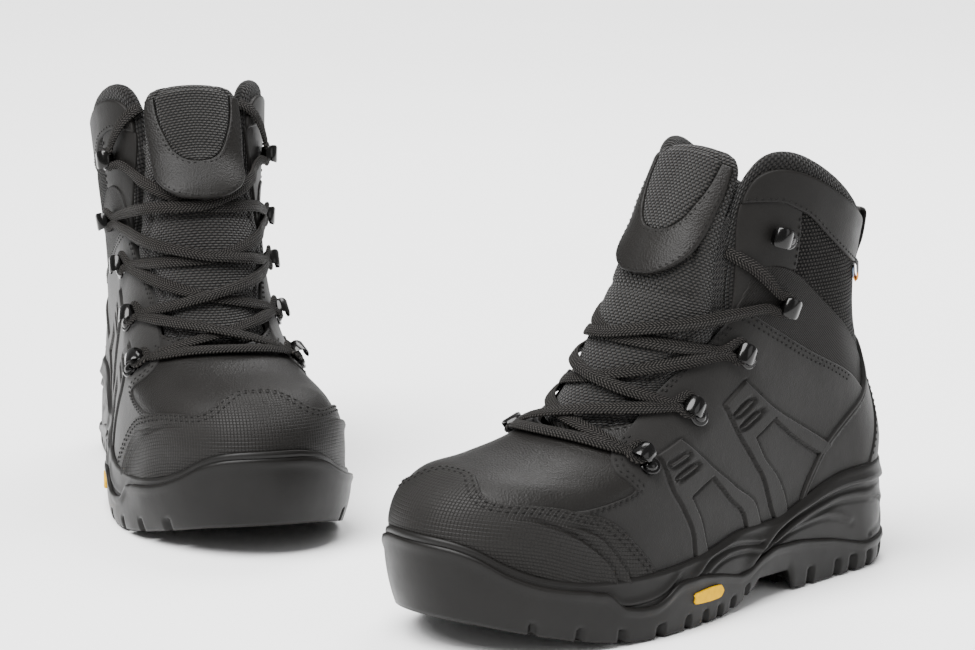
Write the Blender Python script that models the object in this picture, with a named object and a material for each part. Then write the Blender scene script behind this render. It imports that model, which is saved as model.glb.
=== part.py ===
"""A pair of lace-up hiking boots, each an assembly of separate solids.

One boot is described in its own frame, in millimetres: x runs from the back of the heel to the toe, y to the
left and z up from the ground. That frame is the left boot, whose outer side is +y. The right boot is its mirror
image. Both are then set down in the pair's frame, in metres.

The upper is one smooth surface: a stack of closed rings, v = 0 at the line where it meets the sole and v = 1 at
the collar. u runs round each ring, 0 at the front and 1 at the back, positive on the outer side. Every leather,
lining and stiffener layer is a set of cells of one grid on that surface, held between two distances from it.
"""

import math

import bmesh
import bpy
import numpy as np
from mathutils import Vector

MM = 0.001

# ---------------------------------------------------------------- driving dimensions, in millimetres
GAP = 0.3
FRONT_LINE = [(290, 46), (293, 56), (288, 68), (275, 78), (255, 83), (230, 88), (206, 98), (184, 114), (165, 132),
              (150, 152), (139, 171), (131, 186)]
BACK_LINE = [(8, 46), (6, 62), (11, 84), (18, 104), (24, 124), (26, 143), (24, 157), (21, 168)]
COLLAR_RISE = 26
FEATHER_X = [0, 35, 75, 110, 150, 200, 235, 262, 300]
FEATHER_Z = [47, 46, 38, 30, 26, 25, 31, 41, 46]

WIDTH_X = [0, 30, 60, 90, 120, 160, 200, 235, 265, 300]
WIDTH_Z = [30, 60, 90, 120, 150, 185]
OUTER_WIDTH = [
    [35, 36, 37, 38, 42, 49, 53, 51, 45, 39],
    [34, 35, 36, 38, 41, 46, 50, 49, 44, 38],
    [31, 33, 36, 37, 39, 41, 43, 43, 40, 36],
    [31, 34, 38, 38, 37, 37, 37, 37, 37, 35],
    [33, 38, 42, 42, 39, 36, 35, 35, 35, 35],
    [36, 43, 47, 46, 43, 39, 36, 36, 35, 35],
]
INNER_WIDTH = [
    [34, 35, 34, 34, 37, 43, 49, 50, 46, 39],
    [33, 34, 34, 35, 37, 42, 46, 48, 45, 38],
    [30, 32, 34, 35, 36, 38, 40, 42, 41, 36],
    [30, 33, 36, 36, 36, 36, 36, 36, 36, 35],
    [32, 37, 41, 41, 38, 35, 34, 34, 34, 34],
    [36, 42, 46, 45, 42, 39, 36, 36, 35, 35],
]
FRONT_ROUND = ([0, 0.15, 0.35, 0.55, 0.8, 1.0], [46, 50, 72, 74, 58, 56])
BACK_ROUND = ([0, 0.5, 1.0], [36, 40, 50])
TOE_TURN = -9

ROWS = [0, 0.06, 0.13, 0.22, 0.34, 0.486, 0.6, 0.7, 0.79, 0.9, 1.0]
THROAT_ROW = ROWS.index(0.486)
COLLAR_ROW = ROWS.index(0.79)
LINING_TOP_ROW = ROWS.index(0.7)
SIDE_SHARES = [0, 0.05, 0.11, 0.18, 0.27, 0.38, 0.5, 0.64, 0.77, 0.87, 0.95, 1.0]
THROAT_COLUMNS = 2
BACK_COLUMN = THROAT_COLUMNS + len(SIDE_SHARES) - 1
THROAT_V = [0, 0.486, 0.6, 0.7, 0.79, 0.9, 1.0]
THROAT_HALF = [30, 36, 41, 49, 45, 38, 38]

# Distances from the surface, inner face then outer face, for each layer of the upper.
SHELL = (-1.6, 0.4)
OVERLAY = (0.8, 2.4)
STIFFENER = (-2.9, -2.0)
LINING = (-5.5, -3.3)
PADDING = (-12.0, -2.0)

TONGUE_OFFSET_V = [0.486, 0.6, 0.7, 0.8, 0.9, 1.0, 1.16]
TONGUE_OFFSET = [0.5, 4, 7, 9, 10, 9, 5]
TONGUE_THICK = 8
TONGUE_EDGE_CLEAR = 4
TONGUE_START_V = 0.515
TONGUE_LEVEL_V = (0.5, 0.66)
TONGUE_RUN = 228.0
TONGUE_ARCH = 3.0
TONGUE_FOLD_V = 0.93
TONGUE_TOP_V = 1.13
TONGUE_FOLD_GAP_V = 0.016

HOOKS = [(199, 81), (164, 99), (131, 120), (103, 140), (108, 174)]
HOOK_PROFILE = [(9, 0.8), (9, 1.8), (-0.6, 1.8), (-0.6, 6.2), (6, 6.2), (6.8, 7.2), (5.5, 8.4), (-1.6, 8.4),
                (-2.4, 7.6), (-2.4, 0.8)]
HOOK_HALF_WIDTH = 2.2
LACE_HALF_WIDTH = 2.8
LACE_HALF_THICK = 1.2
LACE_BUNCHED = 2.0
LACE_AT_HOOK = 4.0
LACE_TURN = 5.2
LACE_OVER = 3.4
LACE_RISE = ([0.3, 0.42, 0.55, 0.68, 0.9], [0.09, 0.07, 0.04, 0.015, 0.0])
CROSSING_POINTS = 11

SOLE_STATIONS = 26
GROUND_Z = ([0, 205, 240, 270, 300], [0, 0, 1.5, 6, 13])
FLOOR_Z = ([0, 60, 110, 160, 230, 270, 300], [31, 31, 26, 21, 20, 23, 28])
OUTSOLE_TOP_Z = ([0, 60, 100, 150, 215, 250, 300], [13, 13, 15, 11, 10, 12, 18])
BUMPER_X = ([0, 205, 240, 300], [0.8, 0.8, 20, 26.4])
FLANGE_IN = ([0, 205, 235, 300], [3.2, 3.2, 0.2, 0.2])
RIM_INSIDE = -6.6
OUTSOLE_OUT = 5.6
LUG_DEPTH = 4.5
LUG_GROOVES = [(14, 3), (27, 3), (40, 3), (53, 3), (84, 26), (118, 3), (132, 3), (147, 3), (162, 3), (177, 3),
               (192, 3), (207, 3), (222, 3), (237, 3), (252, 3)]

LOOP_SEAM_V = 0.80
LOOP_LEGS = (0.9, 2.4)
LOOP_HEIGHT, LOOP_RADIUS, LOOP_HALF_WIDTH = 26.0, 3.4, 14.0
BADGE = (168, 14.5, 10, 1.1, 3.8)

# Where each boot stands in the pair's frame: the heading of its toe in degrees, and where its x = 150 mm falls.
LEFT_HEADING, LEFT_AT = 224.0, (86.8, -117.6)
RIGHT_HEADING, RIGHT_AT = 283.0, (-139.2, 82.4)
STATION_AT = 150.0

COLOURS = {
    "rubber": ((0.035, 0.034, 0.033), 0.62, 0.0),
    "midsole": ((0.045, 0.043, 0.041), 0.55, 0.0),
    "leather": ((0.050, 0.047, 0.044), 0.58, 0.0),
    "overlay": ((0.040, 0.038, 0.036), 0.50, 0.0),
    "mesh": ((0.060, 0.054, 0.049), 0.80, 0.0),
    "lining": ((0.040, 0.039, 0.038), 0.90, 0.0),
    "lace": ((0.065, 0.060, 0.055), 0.75, 0.0),
    "hook": ((0.030, 0.030, 0.030), 0.28, 0.9),
    "badge": ((0.90, 0.62, 0.02), 0.45, 0.0),
    "board": ((0.32, 0.25, 0.17), 0.85, 0.0),
    "shank": ((0.55, 0.55, 0.56), 0.35, 1.0),
    "foam": ((0.10, 0.10, 0.105), 0.90, 0.0),
}


# ---------------------------------------------------------------- the upper's surface
def spline(knots, values, at):
    """A smooth curve through (knots, values), read at one or many places."""
    knots, values = np.asarray(knots, float), np.asarray(values, float)
    at = np.clip(at, knots[0], knots[-1])
    i = np.clip(np.searchsorted(knots, at, side="right") - 1, 0, len(knots) - 2)
    slope = np.gradient(values, knots)
    slope[1:-1] = (values[2:] - values[:-2]) / (knots[2:] - knots[:-2])
    step = knots[i + 1] - knots[i]
    t = (at - knots[i]) / step
    rise = 3 * t**2 - 2 * t**3
    return ((1 - rise) * values[i] + rise * values[i + 1]
            + (t**3 - 2 * t**2 + t) * step * slope[i] + (t**3 - t**2) * step * slope[i + 1])


def along(line, share):
    """x and z at this share of a side-view line's length."""
    line = np.asarray(line, float)
    run = np.concatenate([[0], np.cumsum(np.linalg.norm(np.diff(line, axis=0), axis=1))])
    return spline(run, line[:, 0], share * run[-1]), spline(run, line[:, 1], share * run[-1])


def half_width(table, x, z):
    """The body's half width at x and z: a curve along x at each height, then a curve through the heights."""
    rows = np.array([spline(WIDTH_X, row, x) for row in table])
    return np.array([spline(WIDTH_Z, rows[:, i], z[i]) for i in range(len(x))])


def centre_line(x):
    t = np.clip((x - 170) / 125, 0, 1)
    return TOE_TURN * t * t * (3 - 2 * t)


def ring(v, outer, samples=160):
    """One side of a ring of the upper, from the front line round to the back line."""
    t = np.linspace(0, 1, samples)
    front_x, front_z = along(FRONT_LINE, v)
    back_x, back_z = along(BACK_LINE, v)
    share = (1 - np.cos(math.pi * t)) / 2
    x = front_x + (back_x - front_x) * share
    z = front_z + (back_z - front_z) * share
    width = half_width(OUTER_WIDTH if outer else INNER_WIDTH, x, z)
    front_round = min(spline(*FRONT_ROUND, v), 0.62 * (front_x - back_x))
    back_round = min(spline(*BACK_ROUND, v), 0.45 * (front_x - back_x))
    front_in = np.clip((front_x - x) / front_round, 0, 1)
    back_in = np.clip((x - back_x) / back_round, 0, 1)
    width = width * np.sqrt(1 - (1 - front_in) ** 2) ** 0.95 * np.sqrt(1 - (1 - back_in) ** 2)
    z = z + COLLAR_RISE * v**4 * np.sin(math.pi * share**0.545) ** 1.5
    z = z + (1 - v) ** 3 * (spline(FEATHER_X, FEATHER_Z, x) - (FRONT_LINE[0][1] + (BACK_LINE[0][1]
                            - FRONT_LINE[0][1]) * share))
    side = 1 if outer else -1
    return np.stack([x, centre_line(x) + side * width, z], axis=1)


def evenly(points, count):
    run = np.concatenate([[0], np.cumsum(np.linalg.norm(np.diff(points, axis=0), axis=1))])
    at = np.linspace(0, run[-1], count)
    return np.stack([np.interp(at, run, points[:, k]) for k in range(3)], axis=1), run[-1]


class Surface:
    """The upper, sampled finely, so that a point or a normal at any (u, v) is quick to read."""

    COLUMNS, LEVELS = 121, 81

    def __init__(self):
        self.grid = np.zeros((self.LEVELS, 2 * self.COLUMNS - 1, 3))
        self.girth = np.zeros((self.LEVELS, 2))
        for j, v in enumerate(np.linspace(0, 1, self.LEVELS)):
            outer, self.girth[j, 0] = evenly(ring(v, True), self.COLUMNS)
            inner, self.girth[j, 1] = evenly(ring(v, False), self.COLUMNS)
            self.grid[j, self.COLUMNS - 1:] = outer
            self.grid[j, :self.COLUMNS] = inner[::-1]

    def point(self, u, v):
        """The point at u from -1 to 1 and v from 0 to 1. u runs on past the back onto the other side."""
        u = (u + 1) % 2 - 1
        column = (u + 1) * (self.COLUMNS - 1)
        level = min(max(v, 0), 1) * (self.LEVELS - 1)
        i, j = min(int(column), 2 * self.COLUMNS - 3), min(int(level), self.LEVELS - 2)
        a, b = column - i, level - j
        g = self.grid
        return ((1 - a) * (1 - b) * g[j, i] + a * (1 - b) * g[j, i + 1]
                + (1 - a) * b * g[j + 1, i] + a * b * g[j + 1, i + 1])

    def normal(self, u, v):
        du = self.point(u + 0.012, v) - self.point(u - 0.012, v)
        dv = self.point(u, min(v + 0.02, 1)) - self.point(u, max(v - 0.02, 0))
        normal = np.cross(du, dv)
        return normal / np.linalg.norm(normal)

    def offset(self, u, v, distance):
        return self.point(u, v) + distance * self.normal(u, v)

    def half_girth(self, v, outer):
        return float(np.interp(v, np.linspace(0, 1, self.LEVELS), self.girth[:, 0 if outer else 1]))

    def throat_u(self, v, outer):
        """Where the front edge of the lacing panel lies on the ring at v."""
        return float(spline(THROAT_V, THROAT_HALF, v)) / self.half_girth(v, outer)

    def column_u(self, column, v):
        """The u of a grid column, counted from the front line, negative on the inner side."""
        outer, steps = column >= 0, abs(column)
        throat = self.throat_u(v, outer)
        if steps <= THROAT_COLUMNS:
            u = throat * steps / THROAT_COLUMNS
        else:
            u = throat + (1 - throat) * SIDE_SHARES[steps - THROAT_COLUMNS]
        return u if outer else -u

    def find(self, x, z, outer):
        """The (u, v) on one side that stands at this x and z in the side view."""
        half = self.grid[:, self.COLUMNS - 1:] if outer else self.grid[:, :self.COLUMNS]
        away = (half[:, :, 0] - x) ** 2 + (half[:, :, 2] - z) ** 2
        j, i = np.unravel_index(away.argmin(), away.shape)
        u = i / (self.COLUMNS - 1) if outer else i / (self.COLUMNS - 1) - 1
        return u, j / (self.LEVELS - 1)


SURFACE = Surface()


# ---------------------------------------------------------------- making objects
def material(name):
    """A plain material, made once, with the colour, roughness and metallic value of its part."""
    made = bpy.data.materials.get(name)
    if made:
        return made
    colour, roughness, metallic = COLOURS[name]
    made = bpy.data.materials.new(name)
    made.use_nodes = True
    shader = made.node_tree.nodes["Principled BSDF"]
    shader.inputs["Base Color"].default_value = (*colour, 1)
    shader.inputs["Roughness"].default_value = roughness
    shader.inputs["Metallic"].default_value = metallic
    made.diffuse_color = (*colour, 1)
    return made


class Boot:
    """One boot of the pair: its name, whether it is mirrored, and the empty that all its parts hang from."""

    def __init__(self, name, heading, at, mirrored):
        self.name, self.mirrored = name, mirrored
        self.stand = bpy.data.objects.new(f"{name}_boot", None)
        bpy.context.collection.objects.link(self.stand)
        angle = math.radians(heading)
        back = Vector((math.cos(angle), math.sin(angle), 0)) * STATION_AT
        self.stand.location = (Vector((*at, 0)) - back) * MM
        self.stand.rotation_euler.z = angle

    def add(self, part, points, faces, look, origin=(0, 0, 0)):
        """A closed mesh from points in millimetres, mirrored for the right boot, with its origin where asked."""
        flip = -1 if self.mirrored else 1
        origin = Vector((origin[0], origin[1] * flip, origin[2])) * MM
        mesh = bpy.data.meshes.new(f"{self.name}_{part}")
        made = [Vector((p[0], p[1] * flip, p[2])) * MM - origin for p in points]
        mesh.from_pydata(made, [], [list(f) for f in faces])
        cleaned = bmesh.new()
        cleaned.from_mesh(mesh)
        bmesh.ops.recalc_face_normals(cleaned, faces=cleaned.faces)
        if cleaned.calc_volume(signed=True) < 0:
            bmesh.ops.reverse_faces(cleaned, faces=cleaned.faces)
        cleaned.to_mesh(mesh)
        cleaned.free()
        mesh.materials.append(material(look))
        mesh.shade_smooth()
        mesh.set_sharp_from_angle(angle=math.radians(40))
        node = bpy.data.objects.new(mesh.name, mesh)
        bpy.context.collection.objects.link(node)
        node.parent = self.stand
        node.location = origin
        return node


def split(quad):
    """A quad as two triangles, always along the same diagonal, so that layers over each other keep their gap."""
    a, b, c, d = quad
    return [[a, b, c], [a, c, d]]


def shell(cells, layer):
    """A set of grid cells as a solid between two distances from the surface, drawn in a little at its border."""
    corners = {}
    for column, row in cells:
        for at in ((column, row), (column + 1, row), (column + 1, row + 1), (column, row + 1)):
            key = (BACK_COLUMN if at[0] == -BACK_COLUMN else at[0], at[1])
            corners.setdefault(key, []).append((column, row))
    index = {key: n for n, key in enumerate(sorted(corners))}
    middles = {}
    for column, row in cells:
        v = (ROWS[row] + ROWS[row + 1]) / 2
        u = (SURFACE.column_u(column, v) + SURFACE.column_u(column + 1, v)) / 2
        middles[column, row] = (u, v)
    points = []
    for distance in layer:
        for column, row in sorted(corners):
            v = ROWS[row]
            place = SURFACE.offset(SURFACE.column_u(column, v), v, distance)
            around = corners[column, row]
            if len(around) < 4:
                inward = np.mean([SURFACE.offset(*middles[c], distance) for c in around], axis=0) - place
                place = place + inward / np.linalg.norm(inward) * GAP
            points.append(place)
    upper = len(index)
    faces, border = [], {}
    for column, row in cells:
        loop = [(column, row), (column + 1, row), (column + 1, row + 1), (column, row + 1)]
        ids = [index[(BACK_COLUMN if c == -BACK_COLUMN else c, r)] for c, r in loop]
        for a, b, c in split(ids):
            faces += [[a + upper, b + upper, c + upper], [c, b, a]]
        for a, b in zip(ids, ids[1:] + ids[:1]):
            if (b, a) in border:
                del border[b, a]
            else:
                border[a, b] = True
    faces += [[a, b, b + upper, a + upper] for a, b in border]
    return points, faces


def block(columns, rows):
    return [(c, r) for c in columns for r in rows]


def strip(sections):
    """A closed solid from equal cross-sections joined in order, with its two ends filled."""
    count = len(sections[0])
    points = [p for section in sections for p in section]
    faces = []
    for s in range(len(sections) - 1):
        for i in range(count):
            a, b = s * count + i, s * count + (i + 1) % count
            faces += split([a, b, b + count, a + count])
    last = (len(sections) - 1) * count
    faces.append(list(range(count))[::-1])
    faces.append([last + i for i in range(count)])
    return points, faces


# ---------------------------------------------------------------- the sole
def footprint(extra, stations):
    """The sole line's plan, moved out by extra(x), as pairs of outer and inner points from toe to heel."""
    shares = (1 - np.cos(math.pi * np.linspace(0, 1, stations))) / 2
    rows = []
    for share in shares:
        pair = []
        for side in (1, -1):
            u = side * float(np.interp(share, SHARE_AT_U[side][0], SHARE_AT_U[side][1]))
            point = SURFACE.point(u, 0)
            ahead, behind = SURFACE.point(u + 0.012, 0), SURFACE.point(u - 0.012, 0)
            out = np.array([ahead[1] - behind[1], behind[0] - ahead[0]])
            out = out / np.linalg.norm(out)
            pair.append(point[:2] + out * extra(point[0]))
        rows.append(pair)
    return rows


def share_table():
    """How far along the boot each u of the sole line lies, for both sides."""
    tables = {}
    for side in (1, -1):
        us = np.linspace(0, 1, 121)
        xs = np.array([SURFACE.point(side * u, 0)[0] for u in us])
        tables[side] = ((xs[0] - xs) / (xs[0] - xs[-1]), us)
    return tables


SHARE_AT_U = share_table()


def loop_of(extra, height, stations=SOLE_STATIONS, insert=()):
    """A closed loop round the sole: the outer side from toe to heel, then the inner side back to the toe."""
    rows = footprint(extra, stations)
    outer = [row[0] for row in rows]
    inner = [row[1] for row in rows[1:-1]][::-1]
    return [np.array([p[0], p[1], height(p[0])]) for p in outer + inner]


def stack(loops, stations=SOLE_STATIONS):
    """Walls between loops, with the first and last loops closed by cross strips from side to side."""
    count = len(loops[0])
    points = [p for loop in loops for p in loop]
    faces = []
    for k in range(len(loops) - 1):
        for i in range(count):
            a, b = k * count + i, k * count + (i + 1) % count
            faces += split([a, b, b + count, a + count])
    for base in (0, (len(loops) - 1) * count):
        opposite = [base + (count - i) % count for i in range(stations)]
        for i in range(stations - 1):
            cross = [base + i, base + i + 1, opposite[i + 1], opposite[i]]
            faces.append(list(dict.fromkeys(cross)))
    return points, faces


def curve(knots_and_values, shift=0.0):
    return lambda x: max(float(spline(*knots_and_values, x)), 0.0) + shift


def straight(knots_and_values, shift=0.0):
    return lambda x: float(np.interp(x, *knots_and_values)) + shift


def rim_z(x):
    return float(spline(FEATHER_X, FEATHER_Z, x)) - 0.5


def add_soles(boot):
    top = curve(OUTSOLE_TOP_Z)

    def flange_top(x):
        return min(top(x) + straight(BUMPER_X)(x), rim_z(x))

    outsole = [loop_of(lambda x: 3.4, curve(GROUND_Z, LUG_DEPTH)),
               loop_of(lambda x: OUTSOLE_OUT, top),
               loop_of(lambda x: OUTSOLE_OUT - 0.4, flange_top),
               loop_of(straight(FLANGE_IN), flange_top),
               loop_of(straight(FLANGE_IN), lambda x: top(x) - 0.2)]
    body = boot.add("outsole", *stack(outsole), "rubber")
    add_lugs(boot, body)
    midsole = [loop_of(straight(FLANGE_IN, -0.4), lambda x: top(x) + 0.2),
               loop_of(straight(FLANGE_IN, -0.4), lambda x: rim_z(x) - 2.0),
               loop_of(straight(FLANGE_IN, -1.2), rim_z),
               loop_of(lambda x: RIM_INSIDE, rim_z),
               loop_of(lambda x: RIM_INSIDE - 1.0, curve(FLOOR_Z))]
    boot.add("midsole", *stack(midsole), "midsole")
    board = [loop_of(lambda x: -8.4, curve(FLOOR_Z, 2.2)), loop_of(lambda x: -8.4, curve(FLOOR_Z, 4.0))]
    boot.add("insole_board", *stack(board), "board")
    footbed = [loop_of(lambda x: -9.4, curve(FLOOR_Z, 4.4)), loop_of(lambda x: -8.6, curve(FLOOR_Z, 9.2))]
    boot.add("footbed", *stack(footbed), "foam")
    floor = curve(FLOOR_Z)
    sections = [[(x, -9, floor(x) + 0.35), (x, 9, floor(x) + 0.35), (x, 9, floor(x) + 1.85), (x, -9, floor(x) + 1.85)]
                for x in np.linspace(58, 176, 9)]
    boot.add("shank", *strip(sections), "shank")


def add_lugs(boot, body):
    """The tread: a slab of the sole's plan, cut across by the grooves, joined to the outsole from below."""
    ground = curve(GROUND_Z)
    stations = 34
    slab = [loop_of(lambda x: 1.6, ground, stations),
            loop_of(lambda x: 3.0, curve(GROUND_Z, LUG_DEPTH + 1.2), stations)]
    tread = boot.add("tread", *stack(slab, stations), "rubber")
    tread.hide_render = True
    tread.display_type = "WIRE"
    for n, (x, width) in enumerate(LUG_GROOVES):
        low, high = ground(x) - 3, ground(x) + LUG_DEPTH
        points, faces = strip([[(x - width / 2, y, low), (x + width / 2, y, low), (x + width / 2, y, high),
                                (x - width / 2, y, high)] for y in (-80, 80)])
        groove = boot.add(f"groove_{n}", points, faces, "rubber")
        groove.hide_render = True
        groove.display_type = "WIRE"
        cut = tread.modifiers.new(f"groove_{n}", "BOOLEAN")
        cut.operation = "DIFFERENCE"
        cut.object = groove
    join = body.modifiers.new("tread", "BOOLEAN")
    join.operation = "UNION"
    join.object = tread


def add_badge(boot):
    """A small blank lozenge let into the outer side of the sole."""
    x, z, half_length, thick, half_height = BADGE
    u = float(np.interp((SURFACE.point(0, 0)[0] - x) / (SURFACE.point(0, 0)[0] - SURFACE.point(1, 0)[0]),
                        *SHARE_AT_U[1]))
    at = SURFACE.point(u, 0)
    ahead = SURFACE.point(u - 0.02, 0) - SURFACE.point(u + 0.02, 0)
    ahead[2] = 0
    ahead = ahead / np.linalg.norm(ahead)
    out = np.array([-ahead[1], ahead[0], 0])
    sections = []
    for depth in (OUTSOLE_OUT + 0.4, OUTSOLE_OUT + 0.4 + thick):
        shape = [(-half_length, 0), (-half_length + 3, -half_height), (half_length, -half_height),
                 (half_length + 3, 0), (half_length, half_height), (-half_length + 3, half_height)]
        sections.append([(*(at[:2] + ahead[:2] * a + out[:2] * depth), z + b) for a, b in shape])
    boot.add("sole_badge", *strip(sections), "badge")


# ---------------------------------------------------------------- the upper
def add_upper(boot):
    low, high = range(0, THROAT_ROW), range(THROAT_ROW, COLLAR_ROW)
    vamp_edge, outer_start = 6, THROAT_COLUMNS
    vamp = block(range(-vamp_edge, vamp_edge), low)
    boot.add("vamp", *shell(vamp, SHELL), "leather")
    outer = block(range(vamp_edge, BACK_COLUMN), low) + block(range(outer_start, BACK_COLUMN), high)
    inner = [(-c - 1, r) for c, r in outer]
    boot.add("outer_quarter", *shell(outer, SHELL), "leather")
    boot.add("inner_quarter", *shell(inner, SHELL), "leather")
    around = list(range(outer_start, BACK_COLUMN)) + list(range(-BACK_COLUMN, -outer_start))
    collar_rows = range(COLLAR_ROW, len(ROWS) - 1)
    boot.add("collar_leather", *shell(block(around, collar_rows), SHELL), "leather")
    boot.add("collar_padding", *shell(block(around, range(LINING_TOP_ROW, len(ROWS) - 1)), PADDING), "foam")
    lining = block(range(-BACK_COLUMN, BACK_COLUMN), low) + block(around, range(THROAT_ROW, LINING_TOP_ROW))
    boot.add("lining", *shell(lining, LINING), "lining")
    cap = block(range(-6, 6), range(0, 2)) + block(range(-5, 5), range(2, 3))
    boot.add("toe_cap", *shell(cap, OVERLAY), "overlay")
    boot.add("toe_stiffener", *shell(block(range(-5, 5), range(0, 3)), STIFFENER), "board")
    back = list(range(BACK_COLUMN - 3, BACK_COLUMN)) + list(range(-BACK_COLUMN, -BACK_COLUMN + 3))
    boot.add("heel_overlay", *shell(block(back, range(0, 6)), OVERLAY), "overlay")
    boot.add("heel_stiffener", *shell(block(back, range(0, 4)), STIFFENER), "board")


# ---------------------------------------------------------------- the tongue
def tongue_point(share, v, depth):
    """A point of the tongue: share runs -1 to 1 across it, depth is below its outer face. Its rows are level."""
    on = min(v, 1.0)
    edge = (float(spline(THROAT_V, THROAT_HALF, on)) - TONGUE_EDGE_CLEAR) / SURFACE.half_girth(on, share >= 0)
    bulge = float(spline(TONGUE_OFFSET_V, TONGUE_OFFSET, v)) * (1 - 0.75 * share**2) - 0.4
    place = SURFACE.offset(share * edge, on, bulge - depth)
    run = SURFACE.point(0, on) - SURFACE.point(0, on - 0.07)
    run = run / np.linalg.norm(run)
    level = SURFACE.point(0, on)[2] - SURFACE.point(share * edge, on)[2] - TONGUE_ARCH * share**2
    level *= float(np.interp(on, TONGUE_LEVEL_V, (0, 1)))
    return place + run * (level / run[2] + (v - on) * TONGUE_RUN)


def tongue_solid(start, end, steps):
    shares = np.linspace(-1, 1, 9)
    sections = []
    for v in np.linspace(start, end, steps):
        outer = [tongue_point(s, v, 0) for s in shares]
        inner = [tongue_point(s, v, TONGUE_THICK * (1 - 0.25 * s * s)) for s in shares[::-1]]
        sections.append(outer + inner)
    return strip(sections)


def tongue_axis():
    return tongue_point(0, TONGUE_FOLD_V, 0.5)


def add_tongue(boot):
    boot.add("tongue", *tongue_solid(TONGUE_START_V, TONGUE_FOLD_V - TONGUE_FOLD_GAP_V, 8), "mesh")
    boot.add("tongue_top", *tongue_solid(TONGUE_FOLD_V, TONGUE_TOP_V, 5), "mesh", origin=tongue_axis())


# ---------------------------------------------------------------- hooks and lace
def hook_frame(number, outer):
    """Where a hook stands, and its directions: up the lacing edge, away from the tongue, and out."""
    u, v = SURFACE.find(*HOOKS[number], outer)
    place, out = SURFACE.point(u, v), SURFACE.normal(u, v)
    up = SURFACE.point(u, min(v + 0.03, 1)) - SURFACE.point(u, max(v - 0.03, 0))
    up = up - out * up.dot(out)
    up = up / np.linalg.norm(up)
    away = np.cross(up, out) * (1 if outer else -1)
    side = SURFACE.point(u + (0.03 if outer else -0.03), v) - place
    if side.dot(away) < 0:
        away = -away
    return place, up, away, out


def add_hooks(boot):
    for outer in (True, False):
        for number in range(len(HOOKS)):
            place, up, away, out = hook_frame(number, outer)
            sections = [[place + away * a + out * n + up * t for a, n in HOOK_PROFILE]
                        for t in (-HOOK_HALF_WIDTH, HOOK_HALF_WIDTH)]
            side = "outer" if outer else "inner"
            boot.add(f"hook_{side}_{number + 1}", *strip(sections), "hook")


def turn_round(number, outer, upwards):
    """The lace's path round a hook's neck, under its head."""
    place, up, away, out = hook_frame(number, outer)
    centre = place - away * 1.5 + out * LACE_AT_HOOK
    angles = np.radians([-118, -80, -40, 0, 40, 80, 118])
    path = [(centre + LACE_TURN * (away * math.cos(a) + up * math.sin(a)), out, LACE_BUNCHED) for a in angles]
    return path if upwards else path[::-1]


def crossing(number, end_number, outer, over):
    """The lace from a hook to one on the other side, lying on the tongue, or on the lace that it crosses."""
    path = []
    u, v = SURFACE.find(*HOOKS[number], outer)
    end_u, end_v = SURFACE.find(*HOOKS[end_number], not outer)
    rise = float(spline(*LACE_RISE, (v + end_v) / 2))
    for t in np.linspace(0, 1, CROSSING_POINTS)[1:-1]:
        at_u, at_v = u + (end_u - u) * t, v + (end_v - v) * t + rise * math.sin(math.pi * t)
        share = abs(at_u) / SURFACE.throat_u(at_v, at_u >= 0)
        tongue = float(spline(TONGUE_OFFSET_V, TONGUE_OFFSET, max(at_v, TONGUE_OFFSET_V[0])))
        lift = tongue * max(0.0, 1 - 0.5 * share**2) + LACE_HALF_THICK + 1.1
        bump = math.sin(math.pi * t) ** 4 * (LACE_OVER if over else 0.0)
        out = SURFACE.normal(at_u, at_v)
        wide = LACE_HALF_WIDTH if 0.15 < t < 0.85 else LACE_BUNCHED
        path.append((SURFACE.point(at_u, at_v) + out * (max(LACE_AT_HOOK, lift) + bump), out, wide))
    return path


def tail(outer, number):
    """The end of the lace, from its last hook to where it is tucked in beside the tongue."""
    u, v = SURFACE.find(*HOOKS[number], outer)
    side = 1 if outer else -1
    path = []
    for share, rise, lift in ((0.78, 0.03, 4.6), (0.52, 0.06, 4.2), (0.27, 0.085, 3.6), (0.06, 0.105, 3.2)):
        vv = min(v + rise, 0.995)
        edge = SURFACE.throat_u(vv, outer)
        uu = side * (edge + (abs(u) - edge) * share)
        out = SURFACE.normal(uu, vv)
        path.append((SURFACE.point(uu, vv) + out * lift, out, LACE_BUNCHED if share > 0.7 else LACE_HALF_WIDTH))
    return path


def lace_path(top_hook):
    """The whole lace: from one tucked end down to the lowest hooks, across, and up to the other end."""
    path, side = [], top_hook % 2 == 0
    path += tail(side, top_hook)[::-1] + turn_round(top_hook, side, False)
    route = [(n, False) for n in range(top_hook - 1, -1, -1)] + [(n, True) for n in range(top_hook + 1)]
    last = top_hook
    for number, upwards in route:
        over = upwards and number > 0
        path += crossing(last, number, side, over) + turn_round(number, not side, upwards)
        last, side = number, not side
    return path + tail(side, top_hook)


def add_lace(boot, top_hook):
    path = lace_path(top_hook)
    sections = []
    for n, (place, out, wide) in enumerate(path):
        ahead = path[min(n + 1, len(path) - 1)][0] - path[max(n - 1, 0)][0]
        across = np.cross(ahead, out)
        across = across / np.linalg.norm(across)
        out = np.cross(across, ahead)
        out = out / np.linalg.norm(out)
        sections.append([place + across * wide * a + out * LACE_HALF_THICK * b
                         for a, b in ((-1, -1), (1, -1), (1, 1), (-1, 1))])
    boot.add("lace", *strip(sections), "lace")


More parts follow.
